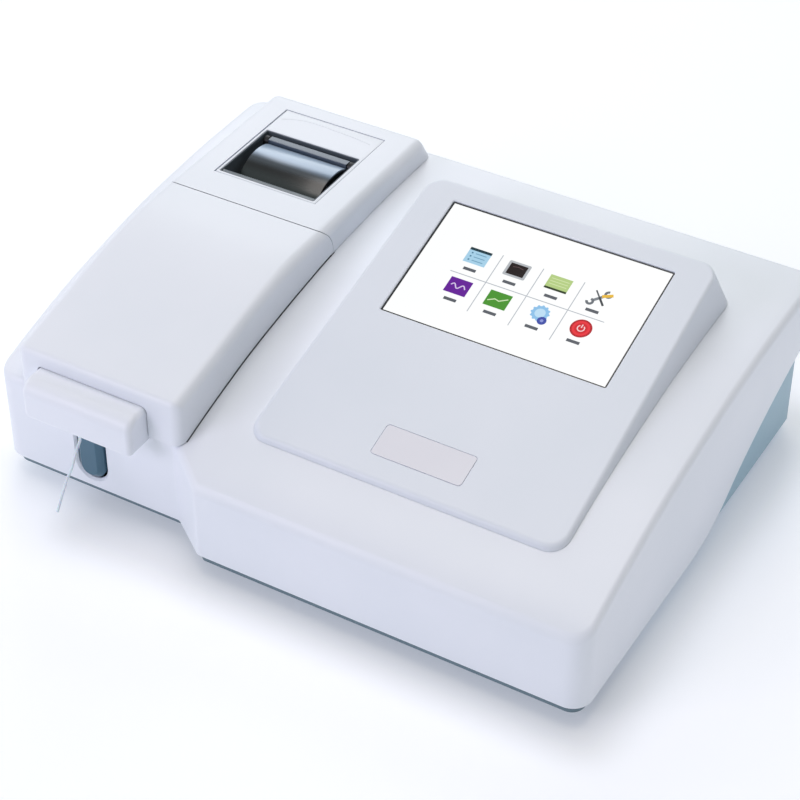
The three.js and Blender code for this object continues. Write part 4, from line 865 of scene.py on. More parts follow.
def monitor_icon(x, y):
    bar(x, y, icon_width, icon_height, "#B4B8BD", 1, 1)
    bar(x, y, icon_width - 3.4, icon_height - 3.2, "#1B1011", 2)
    stroke([(x - 3.6, y + 1.6), (x, y + 2.4), (x + 3.6, y + 1.6)], 0.4, "#5E4A4C", 3)


def sheet_icon(x, y):
    bar(x, y, icon_width, icon_height - 1, "#B3CD82")
    bar(x, y - icon_height / 2 + 1.2, icon_width, 1.5, "#2A3A1D", 2)
    for row in range(3):
        bar(x, y + 3 - row * 2.2, icon_width - 3, 0.5, "#D3E3AC", 2)


def tools_icon(x, y):
    stroke([(x - 3.6, y - 3.6), (x + 3, y + 3)], 2, "#7E838A", 2)
    stroke(arc(x + 4, y + 4, 2, 0, -270), 1.7, "#6C7178", 2)
    stroke(arc(x - 4.6, y - 4.6, 1.9, 180, 450), 1.7, "#6C7178", 2)
    stroke([(x + 4.4, y - 5), (x - 0.4, y + 0.2)], 1.4, "#3F4348", 3)
    stroke([(x - 0.4, y + 0.2), (x - 4.4, y + 4.6)], 1, "#54585E", 3)
    stroke([(x + 0.8, y + 1.4), (x + 7, y + 4.4)], 2.2, "#E8B93A", 4)


def wave_icon(x, y):
    bar(x, y, icon_width, icon_height, "#641A96")
    stroke([(x - 5 + step / 2, y + 1.6 * math.sin(step / 2)) for step in range(21)], 0.8, "#D9C8EA")


def trend_icon(x, y):
    bar(x, y, icon_width, icon_height, "#48932C")
    stroke([(x - 6, y - 2.2), (x - 2, y + 0.2), (x + 1, y - 0.6), (x + 6, y + 2.6)], 0.8, "#CFE6B8")


def settings_icon(x, y):
    teeth = 12
    wheel = []
    for i in range(teeth * 4):
        reach = 6.2 if i % 4 < 2 else 5.4
        turn = 2 * math.pi * i / (teeth * 4)
        wheel.append((x + reach * math.cos(turn), y + 1 + reach * math.sin(turn)))
    patch(wheel, "#8CC0E8")
    disc(x, y + 1, 3.4, "#BCDDF3", 2)
    disc(x + 3.6, y - 4, 3, "#3B4BA6", 3)
    disc(x + 3.6, y - 4, 1.1, "#8C98D8", 4)


def power_icon(x, y):
    disc(x, y, 6.9, "#B31822")
    disc(x, y, 5.6, "#E8303A", 2)
    disc(x, y, 4, "#CE1F2A", 3)
    stroke(arc(x, y, 2.2, 125, 415), 0.7, "#F7D2D3", 4)
    stroke([(x, y + 0.4), (x, y + 3)], 0.7, "#F7D2D3", 5)


screen_tones = "tone"
icons = ((list_icon, monitor_icon, sheet_icon, tools_icon),
         (wave_icon, trend_icon, settings_icon, power_icon))
bar(0, screen_y, screen_width - printed_edge * 2, screen_height - printed_edge * 2, "#FDFEFE", 0)
for icon_row, drawers in zip(icon_rows, icons):
    for icon_x, draw in zip(icon_columns, drawers):
        draw(icon_x, icon_row)
        bar(icon_x, icon_row - label_drop, *label_size, menu_labels)
for divider in divider_columns:
    bar(divider, sum(divider_span) / 2, divider_width, divider_span[1] - divider_span[0], menu_lines)
bar(sum(divider_reach) / 2, divider_row, divider_reach[1] - divider_reach[0], divider_width, menu_lines, 2)


def own_colours(tree, place):
    """The picture shines in the colours on its points."""
    return {"Emission Color": add(tree, "ShaderNodeAttribute", attribute_name=screen_tones).outputs["Color"]}


def picture_mesh(name):
    """All the patches as thin slabs in one mesh, with each patch's colour on its points."""
    points, faces, tones = [], [], []
    for outline, tone, layer in menu:
        low = film * (layer - 1) if layer else -film * 2
        heights = (low - screen_recess, film * (layer + 1) - screen_recess)
        rings = [[on_display(x, y, z) for x, y in outline] for z in heights]
        count = len(outline)
        first = len(points)
        points += rings[0] + rings[1]
        tones += linear(tone) * (count * 2)
        ends = [tuple(range(count)), tuple(range(count, count * 2))]
        faces += [tuple(first + i for i in face) for face in skin(rings) + ends]
    item = mesh_object(name, points, faces, weld=False)
    item.data.attributes.new(screen_tones, "FLOAT_COLOR", "POINT").data.foreach_set("color", tones)
    return item


module_step = -display_skin - seam
module_back_face = module_step - screen_module
module_edge_cut = 0.4
panel_outline = rectangle(0, screen_y, screen_width + screen_rim * 2, screen_height + screen_rim * 2, 1)
panel = plate("touch_panel", on_display, panel_outline, [
    (module_back_face, module_edge_cut), (module_back_face + module_edge_cut, 0), (module_step, 0),
    (module_step, screen_rim + seam), (-screen_recess - 0.1, screen_rim + seam),
    (-screen_recess, screen_rim + seam + 0.1)])
# Black print behind glass: deep, smooth and hardly textured.
printed_glass = moulded("black_printed_glass", "#1C1D20", "#17181B", 0.2, 0.8, 0.002, 0.5)
settle(panel, "touch_screen", printed_glass)
# A lit panel under film: it shines in its own colours, and finger marks make its gloss uneven.
lit_panel = surface("lit_panel_under_film", {
    "Base Color": linear("#040405"), "Emission Strength": 1.0, "Specular IOR Level": 0.12},
    haze=(45.0, 3.0, 0.12, 0.26), extra=own_colours)
picture = picture_mesh("screen_picture")
picture.data.materials.append(lit_panel)
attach(picture, body_of["touch_screen"])


# Name plate: a blank printed polyester label with rounded corners, stuck in a shallow seat in the bezel.
# Nothing is written on it.
plate_corner = 2.2
label_outline = rectangle(plate_x, plate_y, plate_width, plate_height, plate_corner)
label = plate("name_plate_label", on_display, label_outline, [
    (-plate_recess, 0), (0.05, 0), (0.15, 0.1)])
# Matt polyester: a warm white with the finest tooth.
polyester = moulded("matt_polyester_label", "#E9E8EE", "#E4E3EA", 0.5, 0.3, 0.004, 0.3)
settle(label, "name_plate", polyester)


# Printer bezel: a flush plate of the same white ABS, clipped into its seat in the printer cover. A curved
# finger groove crosses its rear, and the edge of the paper opening is broken by a chamfer.
bezel_gaps = (0.75, 0.1, 0.55, 0.15)
bezel_round = 0.35
liner = 0.9
opening_round = 0.2
groove_width = 1.3
groove_depth = 0.35
groove_points = [
    (-35.2, 44.2), (-27.8, 47.7), (-18.9, 50), (-7.2, 50.3), (5, 49.5), (20.5, 48.5), (33, 46.6),
]


def in_printer(x, y, z):
    """A point given from the middle of the paper opening, at the height of the module's top."""
    return (printer_x + x, printer_y + y, module_top + z)


def groove(name, points):
    """A cutter of a shallow V along a smooth line on the plate."""
    line = flowing([(x / panel_half, y / panel_back) for x, y in points], panel_half, panel_back, 60)
    rings = []
    for i, (x, y) in enumerate(line):
        ahead = Vector(line[min(i + 1, len(line) - 1)]) - Vector(line[max(i - 1, 0)])
        side = Vector((-ahead.y, ahead.x)).normalized() * groove_width / 2
        rings.append([in_printer(x - side.x, y - side.y, 0.05), in_printer(x, y, -groove_depth),
                      in_printer(x + side.x, y + side.y, 0.05), in_printer(x, y, 1)])
    return loft(name, rings)


left_gap, right_gap, back_gap, front_gap = bezel_gaps
plate_left = -panel_half + left_gap
plate_right = panel_half - right_gap
plate_front = -opening_length / 2 - panel_front + front_gap
plate_rear = opening_length / 2 + panel_back - back_gap
plate_corners = rectangle((plate_left + plate_right) / 2, (plate_front + plate_rear) / 2,
                          plate_right - plate_left, plate_rear - plate_front, 0.8)
panel_plate = plate("printer_bezel_plate", in_printer, plate_corners, [
    (-module_wall, 0), (-bezel_round, 0), (-bezel_round * 0.3, bezel_round * 0.3), (0, bezel_round)])
opening = rectangle(0, 0, opening_width + liner * 2, opening_length + liner * 2, 1)
carve(panel_plate, plate("opening", in_printer, opening, [
    (-module_wall - overrun, 0), (-opening_round, 0), (overrun, -overrun - opening_round)]))
carve(panel_plate, groove("finger_groove", groove_points))
settle(panel_plate, "printer_bezel", white_abs)


# Paper cover: a smoked polycarbonate arch, polished outside. It turns about an axle at its rear. A painted
# reflection lies on it as a pale blue band over its crown, and daylight comes through its open ends with a
# brown tint.
arch_radius = 31.8
arch_wall = 1.8
arch_width = 60.5
arch_middle = (6, -33)
arch_turns = (56, 152.8)
axle_place = (23.8, -5)
axle_radius = 1.3
barrel_radius = 2.6
hinge_bar = (3.2, 2.1, 3.1)
inner_tone = "#43211A"
cover_smoke_and_reflections = [(0.05, "#3C4745"), (0.2, "#2A302F"), (0.3, "#0E0C0B"), (0.38, "#3A4046"), (0.5, "#9CAFC5"),
                (0.7, "#A3B6CC"), (0.73, "#3F4B5C")]


def arch_line(radius, start, end, steps=56):
    return [(printer_y + y, module_top + z, 0) for y, z in arc(*arch_middle, radius, start, end, steps)]


def in_plane(tree, place, middle):
    """Object coordinates about a middle, and the same without X."""
    radial = add(tree, "ShaderNodeMapping", {"Location": -middle}, {"Vector": place}).outputs["Vector"]
    flat = add(tree, "ShaderNodeVectorMath", {1: (0, 1, 1)}, {0: radial}, operation="MULTIPLY")
    return radial, flat.outputs["Vector"]


def smoke_and_painted_reflection(tree, place):
    """Near black smoke with painted reflections, pale blue over the crown and greenish grey at the front,
    and brown on the inner face.
    """
    middle = at(printer_x, printer_y + arch_middle[0], module_top + arch_middle[1])
    radial, flat = in_plane(tree, place, middle)
    reach = add(tree, "ShaderNodeVectorMath", links={0: flat}, operation="LENGTH")
    shell_side = add(tree, "ShaderNodeMapRange",
                     {"From Min": (arch_radius - arch_wall) / 1000, "From Max": (arch_radius - 0.3) / 1000},
                     {"Value": reach.outputs["Value"]})
    along = add(tree, "ShaderNodeSeparateXYZ", links={"Vector": radial})
    share = add(tree, "ShaderNodeMapRange",
                {"From Min": -arch_radius / 1000, "From Max": arch_radius / 1000},
                {"Value": along.outputs["Y"]})
    # The ramp runs front to back round the dark smoke: painted reflections, greenish grey at the front lip
    # and pale blue over the crown's rear.
    outside = add(tree, "ShaderNodeValToRGB", links={"Fac": share.outputs["Result"]})
    outside.color_ramp.interpolation = "EASE"
    stops = outside.color_ramp.elements
    for stop, (spot, shade) in zip(stops, (cover_smoke_and_reflections[0], cover_smoke_and_reflections[-1])):
        stop.position = spot
        stop.color = linear(shade)
    for spot, shade in cover_smoke_and_reflections[1:-1]:
        stops.new(spot).color = linear(shade)
    tint = add(tree, "ShaderNodeMix", {6: linear(inner_tone)},
               {0: shell_side.outputs["Result"], 7: outside.outputs["Color"]}, data_type="RGBA")
    return {"Base Color": tint.outputs[2]}


arch_reach = around(printer_x, arch_width / 2)
arch_outline = arch_line(arch_radius, *arch_turns)
arch_outline += arch_line(arch_radius - arch_wall, *reversed(arch_turns))
arch_piece = along_x("paper_cover_arch", arch_outline, *arch_reach, 0.35, 3)
axle_y = printer_y + axle_place[0]
axle_z = module_top + axle_place[1]
carve(arch_piece, rod("barrel", barrel_radius, *arch_reach, axle_y, axle_z, 40, 0.3), "UNION")
bar_outline = [(axle_y - hinge_bar[0], axle_z, 0), (axle_y + hinge_bar[1], axle_z, 0),
               (axle_y + hinge_bar[1], axle_z + hinge_bar[2], 0.4),
               (axle_y - hinge_bar[0], axle_z + hinge_bar[2], 0.4)]
carve(arch_piece, along_x("hinge_bar", bar_outline, *arch_reach), "UNION")
carve(arch_piece, rod("bore", axle_radius + seam, arch_reach[0] - overrun, arch_reach[1] + overrun,
                      axle_y, axle_z, 32))
# Smoked polycarbonate: a glossy brown grey, with a painted reflection as a pale band over its crown.
smoked = surface("smoked_polycarbonate", {
    "Specular IOR Level": 0.45, "IOR": 1.58, "Coat Weight": 0.4, "Coat Roughness": 0.14},
    haze=(90.0, 3.0, 0.2, 0.3), extra=smoke_and_painted_reflection)
settle(arch_piece, "paper_cover", smoked, 35)


# Cover axle: a rod turned from black acetal, with a collar at each end that keeps the arch in the middle. It
# is snapped into the bucket's walls.
collar_radius = 3.5
collar_length = 3.7
axle_half = opening_width / 2 + bucket_wall - seam
collar_start = arch_width / 2 + play
collar_end = collar_start + collar_length
axle_profile = [(-axle_half, axle_radius - 0.3), (-axle_half + 0.3, axle_radius), (-collar_end, axle_radius),
                (-collar_end, collar_radius - 0.4), (-collar_end + 0.4, collar_radius),
                (-collar_start - 0.3, collar_radius), (-collar_start, collar_radius - 0.3),
                (-collar_start, axle_radius)]
axle_profile += [(-x, radius) for x, radius in reversed(axle_profile)]
axle = turned("cover_axle_rod", [(radius, x) for x, radius in axle_profile], (printer_x, axle_y, axle_z),
              "X", 32)
# Black acetal: waxy, with a soft low shine.
acetal = moulded("black_acetal", "#1E1F22", "#191A1C", 0.38, 0.6, 0.01, 0.45)
settle(axle, "cover_axle", acetal)


# Tear bar: a strip of brushed stainless steel across the front of the opening, pressed into the bucket's
# wall. Fine teeth run along its top edge.
bar_front = -opening_length / 2 + seam
bar_back = -opening_length / 2 + 2.9
bar_top = -0.7
bar_low = -7
tooth_pitch = 1.5
tooth_depth = 0.35
teeth_width = opening_width - seam * 2
tooth_count = int(teeth_width / tooth_pitch)
rings = []
for i in range(tooth_count * 2 + 1):
    x = -opening_width / 2 + seam + teeth_width * i / (tooth_count * 2)
    bite = tooth_depth if i % 2 else 0
    rings.append([in_printer(x, y, z) for y, z in (
        (bar_front, bar_low), (bar_back, bar_low), (bar_back, bar_top - bite),
        (bar_back - 0.5, bar_top - bite), (bar_back - 1.1, bar_top - 0.5), (bar_front, bar_top - 1.45))])
tear_strip = loft("tear_bar_strip", rings)


def brushed_steel(name, pale, dark, stretch, roughness):
    """Brushed stainless steel: fine streaks along one axis, drawn three times as coarse as real ones."""
    def streaks(tree, place):
        grain = add(tree, "ShaderNodeMapping", {"Scale": stretch}, {"Vector": place})
        lines = add(tree, "ShaderNodeTexNoise", {"Scale": 900.0, "Detail": 4.0},
                    {"Vector": grain.outputs["Vector"]}).outputs["Fac"]
        rough = add(tree, "ShaderNodeMapRange", {"To Min": roughness - 0.06, "To Max": roughness + 0.1},
                    {"Value": lines})
        bump = add(tree, "ShaderNodeBump", {"Strength": 0.35, "Distance": 0.00002}, {"Height": lines})
        return {"Roughness": rough.outputs["Result"], "Normal": bump.outputs["Normal"]}
    return surface(name, {"Metallic": 1.0}, (pale, dark, 40.0), extra=streaks)


# Brushed stainless steel: streaks along the bar.
steel_across = brushed_steel("brushed_steel_strip", "#A3A8AE", "#959AA0", (0.03, 1, 1), 0.34)
settle(tear_strip, "tear_bar", steel_across)


# Probe block: a hollow white cover on the left front with a rounded brow. Its foot reaches through the lid's
# notch into the bay, and a small hole in its underside lets the probe out.
block_bottom = 58
block_front = -1
block_wall = 2.5
block_edge = 4
block_brow = 10
block_foot = 36
probe_inset = 6.3
probe_x = -half + 75
probe_y = block_front + probe_inset
probe_radius = 0.9
rest_face = left_setback - seam
block_back = rest_face + block_edge * 2
block_span = around(block_x, block_width / 2)


def pillar(name, radius, low, top, x, y):
    """A plain round post or bore about a vertical line."""
    return turned(name, [(radius, low), (radius, top)], (x, y, 0), "Z", 24)


block_form = [(block_front, block_bottom, block_wall), (block_back, block_bottom, 0),
              (block_back, block_top, 0), (block_front, block_top, block_brow)]
block_piece = along_x("probe_block_cover", block_form, *block_span, block_edge)
front_part = box("front_part", (block_span[0] - overrun, block_span[1] + overrun),
                 (block_front - overrun, rest_face), (0, high))
carve(block_piece, front_part, "INTERSECT")
inner_form = [(block_front + block_wall, block_bottom + block_wall, 1),
              (rest_face - block_wall, block_bottom + block_wall, 1),
              (rest_face - block_wall, block_top - block_wall, 1),
              (block_front + block_wall, block_top - block_wall, block_brow - block_wall)]
carve(block_piece, along_x("hollow", inner_form, *around(block_x, block_width / 2 - block_wall), 1.5, 4))
foot_rim = deck(bay_front) + lid_lift + seam
foot_top = block_top - module_edge
foot_start = rest_face - block_wall / 2
foot = along_x("foot", [
    (foot_start, foot_rim, 0), (bay_front + play, foot_rim, 0), (bay_front + play, bay_floor_top + seam, 0),
    (block_foot, bay_floor_top + seam, 0), (block_foot, bay_floor_top + block_wall, 0.5),
    (bay_front + play + block_wall, foot_top, 0.8), (foot_start, foot_top, 0),
], *around(block_x, block_width / 2 - block_edge * 2))
carve(block_piece, foot, "UNION")
carve(block_piece, pillar("drain", probe_radius + seam, block_bottom - overrun,
                          block_bottom + block_wall + overrun, probe_x, probe_y))
settle(block_piece, "probe_block", white_abs, 24)


# Sipper probe: a thin extruded PTFE tube, clamped inside the block. It leaves the block's underside and
# bends forwards to an open tip.
probe_inside = 9
probe_reach = 22
probe_tip = 14
probe_bore = 0.35
probe_shares = [(0, 0), (0.01, 0.17), (0.16, 0.29), (0.37, 0.5), (0.6, 0.64), (1, 1)]
probe_rings = 72


def hose_rings(line, radius, sides):
    """Rings round a smooth line of points."""
    points = [Vector(point) for point in line]
    side = Vector((1, 0, 0))
    rings = []
    for i, point in enumerate(points):
        ahead = (points[min(i + 1, len(points) - 1)] - points[max(i - 1, 0)]).normalized()
        side = (side - ahead * side.dot(ahead)).normalized()
        up = ahead.cross(side)
        rings.append([tuple(point + side * a + up * b) for a, b in circle(radius, sides)])
    return rings


probe_line = [(probe_x, probe_y, block_bottom + probe_inside * share) for share in (1, 0.66, 0.33)]
probe_line += [(probe_x, probe_y - y, block_bottom - z)
               for y, z in flowing(probe_shares, probe_inset + probe_reach, block_bottom - probe_tip,
                               probe_rings)]
inside_rings = hose_rings(probe_line, probe_bore, 16)
probe = loft("sipper_probe_tube", hose_rings(probe_line, probe_radius, 16) + inside_rings[::-1], True)


def milky(name, pale, dark, roughness, weight):
    """A milky polymer: light goes a little way in, so thin stretches glow."""
    return surface(name, {"Subsurface Weight": weight, "Subsurface Scale": 0.001}, (pale, dark, 30.0),
                   (120.0, 2.0, roughness - 0.04, roughness + 0.04))


ptfe = milky("extruded_ptfe", "#E4EDF3", "#DCE6EE", 0.35, 0.3)
settle(probe, "sipper_probe", ptfe, 60)


# Aspirate key: a moulded slate blue ABS paddle that swings on a stub axle near its top. Broad facets slope
# from its flat face to its sides.
key_front = left_setback - 2.5
key_depth = 14
key_facet = 3.5
key_soft = 0.25
key_gap = (key_opening - key_width) / 2
key_pivot = (left_setback + 7, 49)
key_pivot_radius = 2
bracket_wall = 2.5
cheek = key_width / 2 + play

paddle_outline = key_outline(key_width, key_bottom + key_gap, key_top - key_gap, 32)
paddle = along_y("aspirate_key_paddle", paddle_outline, key_x, [
    (key_front, key_facet + key_soft), (key_front + 0.06, key_facet + key_soft * 0.4),
    (key_front + key_soft, key_facet - key_soft * 0.6), (key_front + key_facet - key_soft, key_soft * 0.9),
    (key_front + key_facet, key_soft * 0.3), (key_front + key_facet + key_soft, 0),
    (key_front + key_depth, 0)])
pivot_reach = cheek + bracket_wall - seam
carve(paddle, rod("stub_axle", key_pivot_radius, *around(key_x, pivot_reach), *key_pivot, 24, 0.2), "UNION")
# Slate ABS: satin, with a moulded grain a little deeper than the shell's.
slate_key_abs = moulded("slate_key_abs", "#476D82", "#42677B", 0.36, 0.5, 0.015, 0.45)
settle(paddle, "aspirate_key", slate_key_abs, 20)


# Paper bucket: the slate grey ABS tub that the roll lies in, clipped under the printer cover by its flange.
# Its edges have the small round that a moulding tool leaves.
def softened(name, node, edge, material, sharp=30):
    """A copy of a frame piece in one mesh, with its edges broken by a small round, stands for its node."""
    mesh = frame["nodes"][node].data.copy()
    shape = bmesh.new()
    shape.from_mesh(mesh)
    bmesh.ops.remove_doubles(shape, verts=shape.verts, dist=5e-6)
    bmesh.ops.dissolve_limit(shape, angle_limit=math.radians(1), verts=shape.verts, edges=shape.edges)
    shape.to_mesh(mesh)
    shape.free()
    item = put(name, mesh)
    bevel = item.modifiers.new("broken_edges", "BEVEL")
    bevel.limit_method = "ANGLE"
    bevel.angle_limit = math.radians(30)
    bevel.width = edge / 1000
    bevel.segments = 2
    settle(bake(item), node, material, sharp)


# Slate grey ABS: the same grain as the shell on a dark tone.
slate_grey_abs = moulded("slate_grey_abs", "#59626B", "#525A63", 0.42, 0.5, 0.012, 0.4)
softened("paper_bucket_moulding", "paper_bucket", 0.4, slate_grey_abs)
# The neck is the part of the bucket that lines the opening in the printer's panel.
neck_low = -module_wall - seam - 0.2
neck_top = -0.35
neck_outline = rectangle(0, 0, opening_width + (liner - 0.1) * 2, opening_length + (liner - 0.1) * 2, 0.9)
neck = plate("paper_bucket_neck", in_printer, neck_outline, [
    (neck_low, 0), (neck_top - 0.15, 0), (neck_top, 0.15)])
neck_room = rectangle(0, 0, opening_width, opening_length, 0.5)
carve(neck, plate("neck_room", in_printer, neck_room, [
    (neck_low - overrun, 0), (neck_top - 0.15, 0), (neck_top + 0.05, -0.2)]))
dress(neck, "paper_bucket", slate_grey_abs)


# Paper roll: thermal paper wound tightly on a kraft board core. It lies loose in the bucket and turns as
# the platen draws the paper off.
roll_radius = 19
roll_half = 28.5
roll_core = 6
core_wall = 1.2
roll_place = (printer_x, printer_y + 7.15, module_top - 37)
paper_layer = 0.6


def bush(name, outer, inner, low, top, middle, axis, edge=0.3, sides=48):
    """A turned ring with its outer and inner edges broken."""
    return turned(name, [(outer - edge, low), (outer, low + edge), (outer, top - edge), (outer - edge, top),
                         (inner + edge, top), (inner, top - edge), (inner, low + edge), (inner + edge, low)],
                  middle, axis, sides, True)


def wound_edges(tree, place):
    """The paper's wound edges show as fine rings, drawn far coarser than real layers."""
    flat = in_plane(tree, place, at(*roll_place))[1]
    layers = add(tree, "ShaderNodeTexWave", {"Scale": 160 / paper_layer, "Distortion": 1.5},
                 {"Vector": flat}, wave_type="RINGS", rings_direction="SPHERICAL")
    bump = add(tree, "ShaderNodeBump", {"Strength": 0.5, "Distance": 0.00005},
               {"Height": layers.outputs["Fac"]})
    return {"Normal": bump.outputs["Normal"]}


wound = bush("paper_roll_wound", roll_radius, roll_core + core_wall, -roll_half, roll_half, roll_place, "X",
             0.4, 72)
# Thermal paper: bright and matt.
thermal_paper = surface("thermal_paper", {"Roughness": 0.75, "Specular IOR Level": 0.25},
                        ("#F3F3F0", "#E9E9E4", 60.0), extra=wound_edges)
settle(wound, "paper_roll", thermal_paper)
core = bush("paper_roll_core", roll_core + core_wall, roll_core, -roll_half, roll_half, roll_place, "X", 0.2)
# Kraft board: brown, matt and fibrous.
kraft_board = moulded("kraft_board", "#A98B64", "#94774F", 0.8, 0.9, 0.03, 0.2)
dress(core, "paper_roll", kraft_board)


# Platen roller: a rubber sleeve vulcanised on a steel shaft that turns in the bucket's walls. The print head
# is a ceramic bar pressed against its rear.
platen_place = (printer_x, printer_y - 22.15, module_top - 27)
platen_radius = 5
platen_half = 29
shaft_radius = 2
shaft_half = opening_width / 2 + bucket_wall - seam

sleeve = bush("platen_sleeve", platen_radius, shaft_radius, -platen_half, platen_half, platen_place, "X",
              0.35)
# Vulcanised rubber: black and matt, with a ground surface.
rubber = moulded("vulcanised_rubber", "#26272A", "#1F2022", 0.72, 0.7, 0.03, 0.3)
settle(sleeve, "platen_roller", rubber)
shaft = turned("platen_shaft", [(shaft_radius - 0.4, -shaft_half), (shaft_radius, -shaft_half + 0.4),
                                (shaft_radius, shaft_half - 0.4), (shaft_radius - 0.4, shaft_half)],
               platen_place, "X", 32)
# Turned and ground steel: bright, with fine lines round the shaft.
steel_turned = brushed_steel("turned_steel", "#CDD0D4", "#BBBFC4", (1, 0.05, 0.05), 0.3)
dress(shaft, "platen_roller", steel_turned)
# Alumina ceramic: an even pale grey with a fine dull surface.
alumina = moulded("alumina_ceramic", "#C9CBC9", "#BFC1C0", 0.5, 0.4, 0.005, 0.5)
softened("print_head_bar", "print_head", 0.3, alumina)


# Key bracket and switch: a folded aluminium bracket behind the front wall holds the key's axle, and a sealed
# micro switch is screwed to it where the key's foot swings back.
def blasted_metal(name, pale, dark, roughness, grit=0.25):
    """Bead-blasted metal: an even dull shine over fine dimples, drawn twice as coarse as real ones."""
    return surface(name, {"Metallic": 1.0}, (pale, dark, 30.0),
                   (50.0, 3.0, roughness - 0.05, roughness + 0.05), (1000 / grit, 2.0, 0.4, 0.00001))


# Blasted and clear anodised aluminium: pale, soft and without streaks.
blasted_aluminium = blasted_metal("blasted_aluminium", "#C6C9CC", "#BABEC2", 0.42)
softened("key_bracket_sheet", "key_bracket", 0.4, blasted_aluminium)
# Black ABS: dark grey rather than black, satin.
black_abs = moulded("black_abs", "#232529", "#1D1F22", 0.4, 0.5, 0.015, 0.45)
softened("key_switch_case", "key_switch", 0.35, black_abs)


# Base tray: a moulded tub of slate blue ABS inside the shell's lower edge, screwed to it from below. It
# shows as a strip under the front and under the swept sides, and its posts carry everything inside.
base_inset = 6
base_wall = 2.5
base_floor = 3
base_lap = 9
base_front = 24
base_round = 0.6
front_reach = 2.1
rear_x = half - 147
rear_width = 250
rear_height = 55
rear_lap = 5
post_radius = 3
screw_head = 3.7
head_height = 2.6
board_middle = (20, 105)
board_size = 130
board_seat = 3.7
plate_seat = 1
supply_seat = -1
plate_span = (-192, -128, 33, 188)
supply_middle = (142, 232)
supply_size = (98, 95)


def tray_top(y):
    return max(sweep(y) + base_lap, base_front) if y > sweep_line[0][0] else base_front


def tray_ring(distance):
    """The tray's outline at an inset, a little further out at the front."""
    ring = []
    for (x, y), (far_x, far_y) in zip(plan_ring(distance - front_reach), plan_ring(distance)):
        share = min(max(y / (left_setback * 4), 0), 1)
        ring.append((x + (far_x - x) * share, y + (far_y - y) * share))
    return ring


def tray_body():
    """The tub as rings from the middle of its underside, up its wall, over the rim and down to its floor."""
    inside = base_inset + base_wall
    stations = [(base_inset + base_round * (1 - math.sin(t)), base_round * (1 - math.cos(t)) - base_drop,
                 None) for t in quarter(4)]
    stations += [(base_inset, None, 0.3), (base_inset + 0.3, None, 0), (inside - 0.3, None, 0),
                 (inside, None, 0.3), (inside, base_floor - base_drop, None)]
    return loft("base_tray_moulding", [
        [(x, y, tray_top(y) - below_rim if z is None else z) for x, y in tray_ring(distance)]
        for distance, z, below_rim in stations])


def four(x, y, wide, long):
    """Four places about a middle, drawn in from the corners of a plate by two post radii."""
    return [(x + i * (wide / 2 - post_radius * 2), y + j * (long / 2 - post_radius * 2))
            for i in (-1, 1) for j in (-1, 1)]


tray = tray_body()
rear_inside = depth - base_inset - base_wall
carve(tray, box("rear_window", around(rear_x, rear_width / 2 - rear_lap), (rear_inside - overrun, depth),
                (0, rear_height)))
carve(tray, box("key_notch", around(key_x, key_opening / 2 + bracket_wall + play),
                (0, left_setback + base_inset + base_wall + overrun), (4, high)))
plate_middle = ((plate_span[0] + plate_span[1]) / 2, (plate_span[2] + plate_span[3]) / 2)
post_groups = [
    (four(*board_middle, board_size, board_size), board_seat - seam),
    (four(*plate_middle, plate_span[1] - plate_span[0], plate_span[3] - plate_span[2]),
     plate_seat - seam),
    (four(*supply_middle, *supply_size), supply_seat - seam),
]
floor_middle = base_floor / 2 - base_drop
for places, top in post_groups:
    for x, y in places:
        carve(tray, pillar("post", post_radius, floor_middle, top, x, y), "UNION")
for x, y in boss_places:
    carve(tray, pillar("post", boss_radius + overrun, floor_middle, boss_split - seam, x, y), "UNION")
    carve(tray, pillar("screw_hole", screw_clearance, -base_drop - overrun, boss_split + overrun, x, y))
    carve(tray, pillar("head_seat", screw_head + seam, -base_drop - overrun,
                       -base_drop + head_height + seam, x, y))
# Slate blue ABS: a greyed blue, satin like the shell, darkened along the front by painted shade.
painted_shade_front = 0.4
slate_abs = moulded("slate_base_abs", "#9EBDCC", "#98B7C6", 0.4, 0.5, 0.012, 0.4)
tree = slate_abs.node_tree
shader = next(node for node in tree.nodes if node.type == "BSDF_PRINCIPLED")
slate = shader.inputs["Base Color"].links[0].from_socket
place = add(tree, "ShaderNodeTexCoord").outputs["Object"]
along = add(tree, "ShaderNodeSeparateXYZ", links={"Vector": place})
# Painted shade: the colour is scaled down towards the front, fully within two setbacks of it.
painted_shade_reach = (at(0, left_setback * 2, 0).y, at(0, left_setback * 5, 0).y)
share = add(tree, "ShaderNodeMapRange",
            {"From Min": painted_shade_reach[0], "From Max": painted_shade_reach[1], "To Min": painted_shade_front},
            {"Value": along.outputs["Y"]})
painted_shade = add(tree, "ShaderNodeVectorMath", links={0: slate, "Scale": share.outputs["Result"]},
             operation="SCALE")
tree.links.new(painted_shade.outputs["Vector"], shader.inputs["Base Color"])
settle(tray, "base_tray", slate_abs)


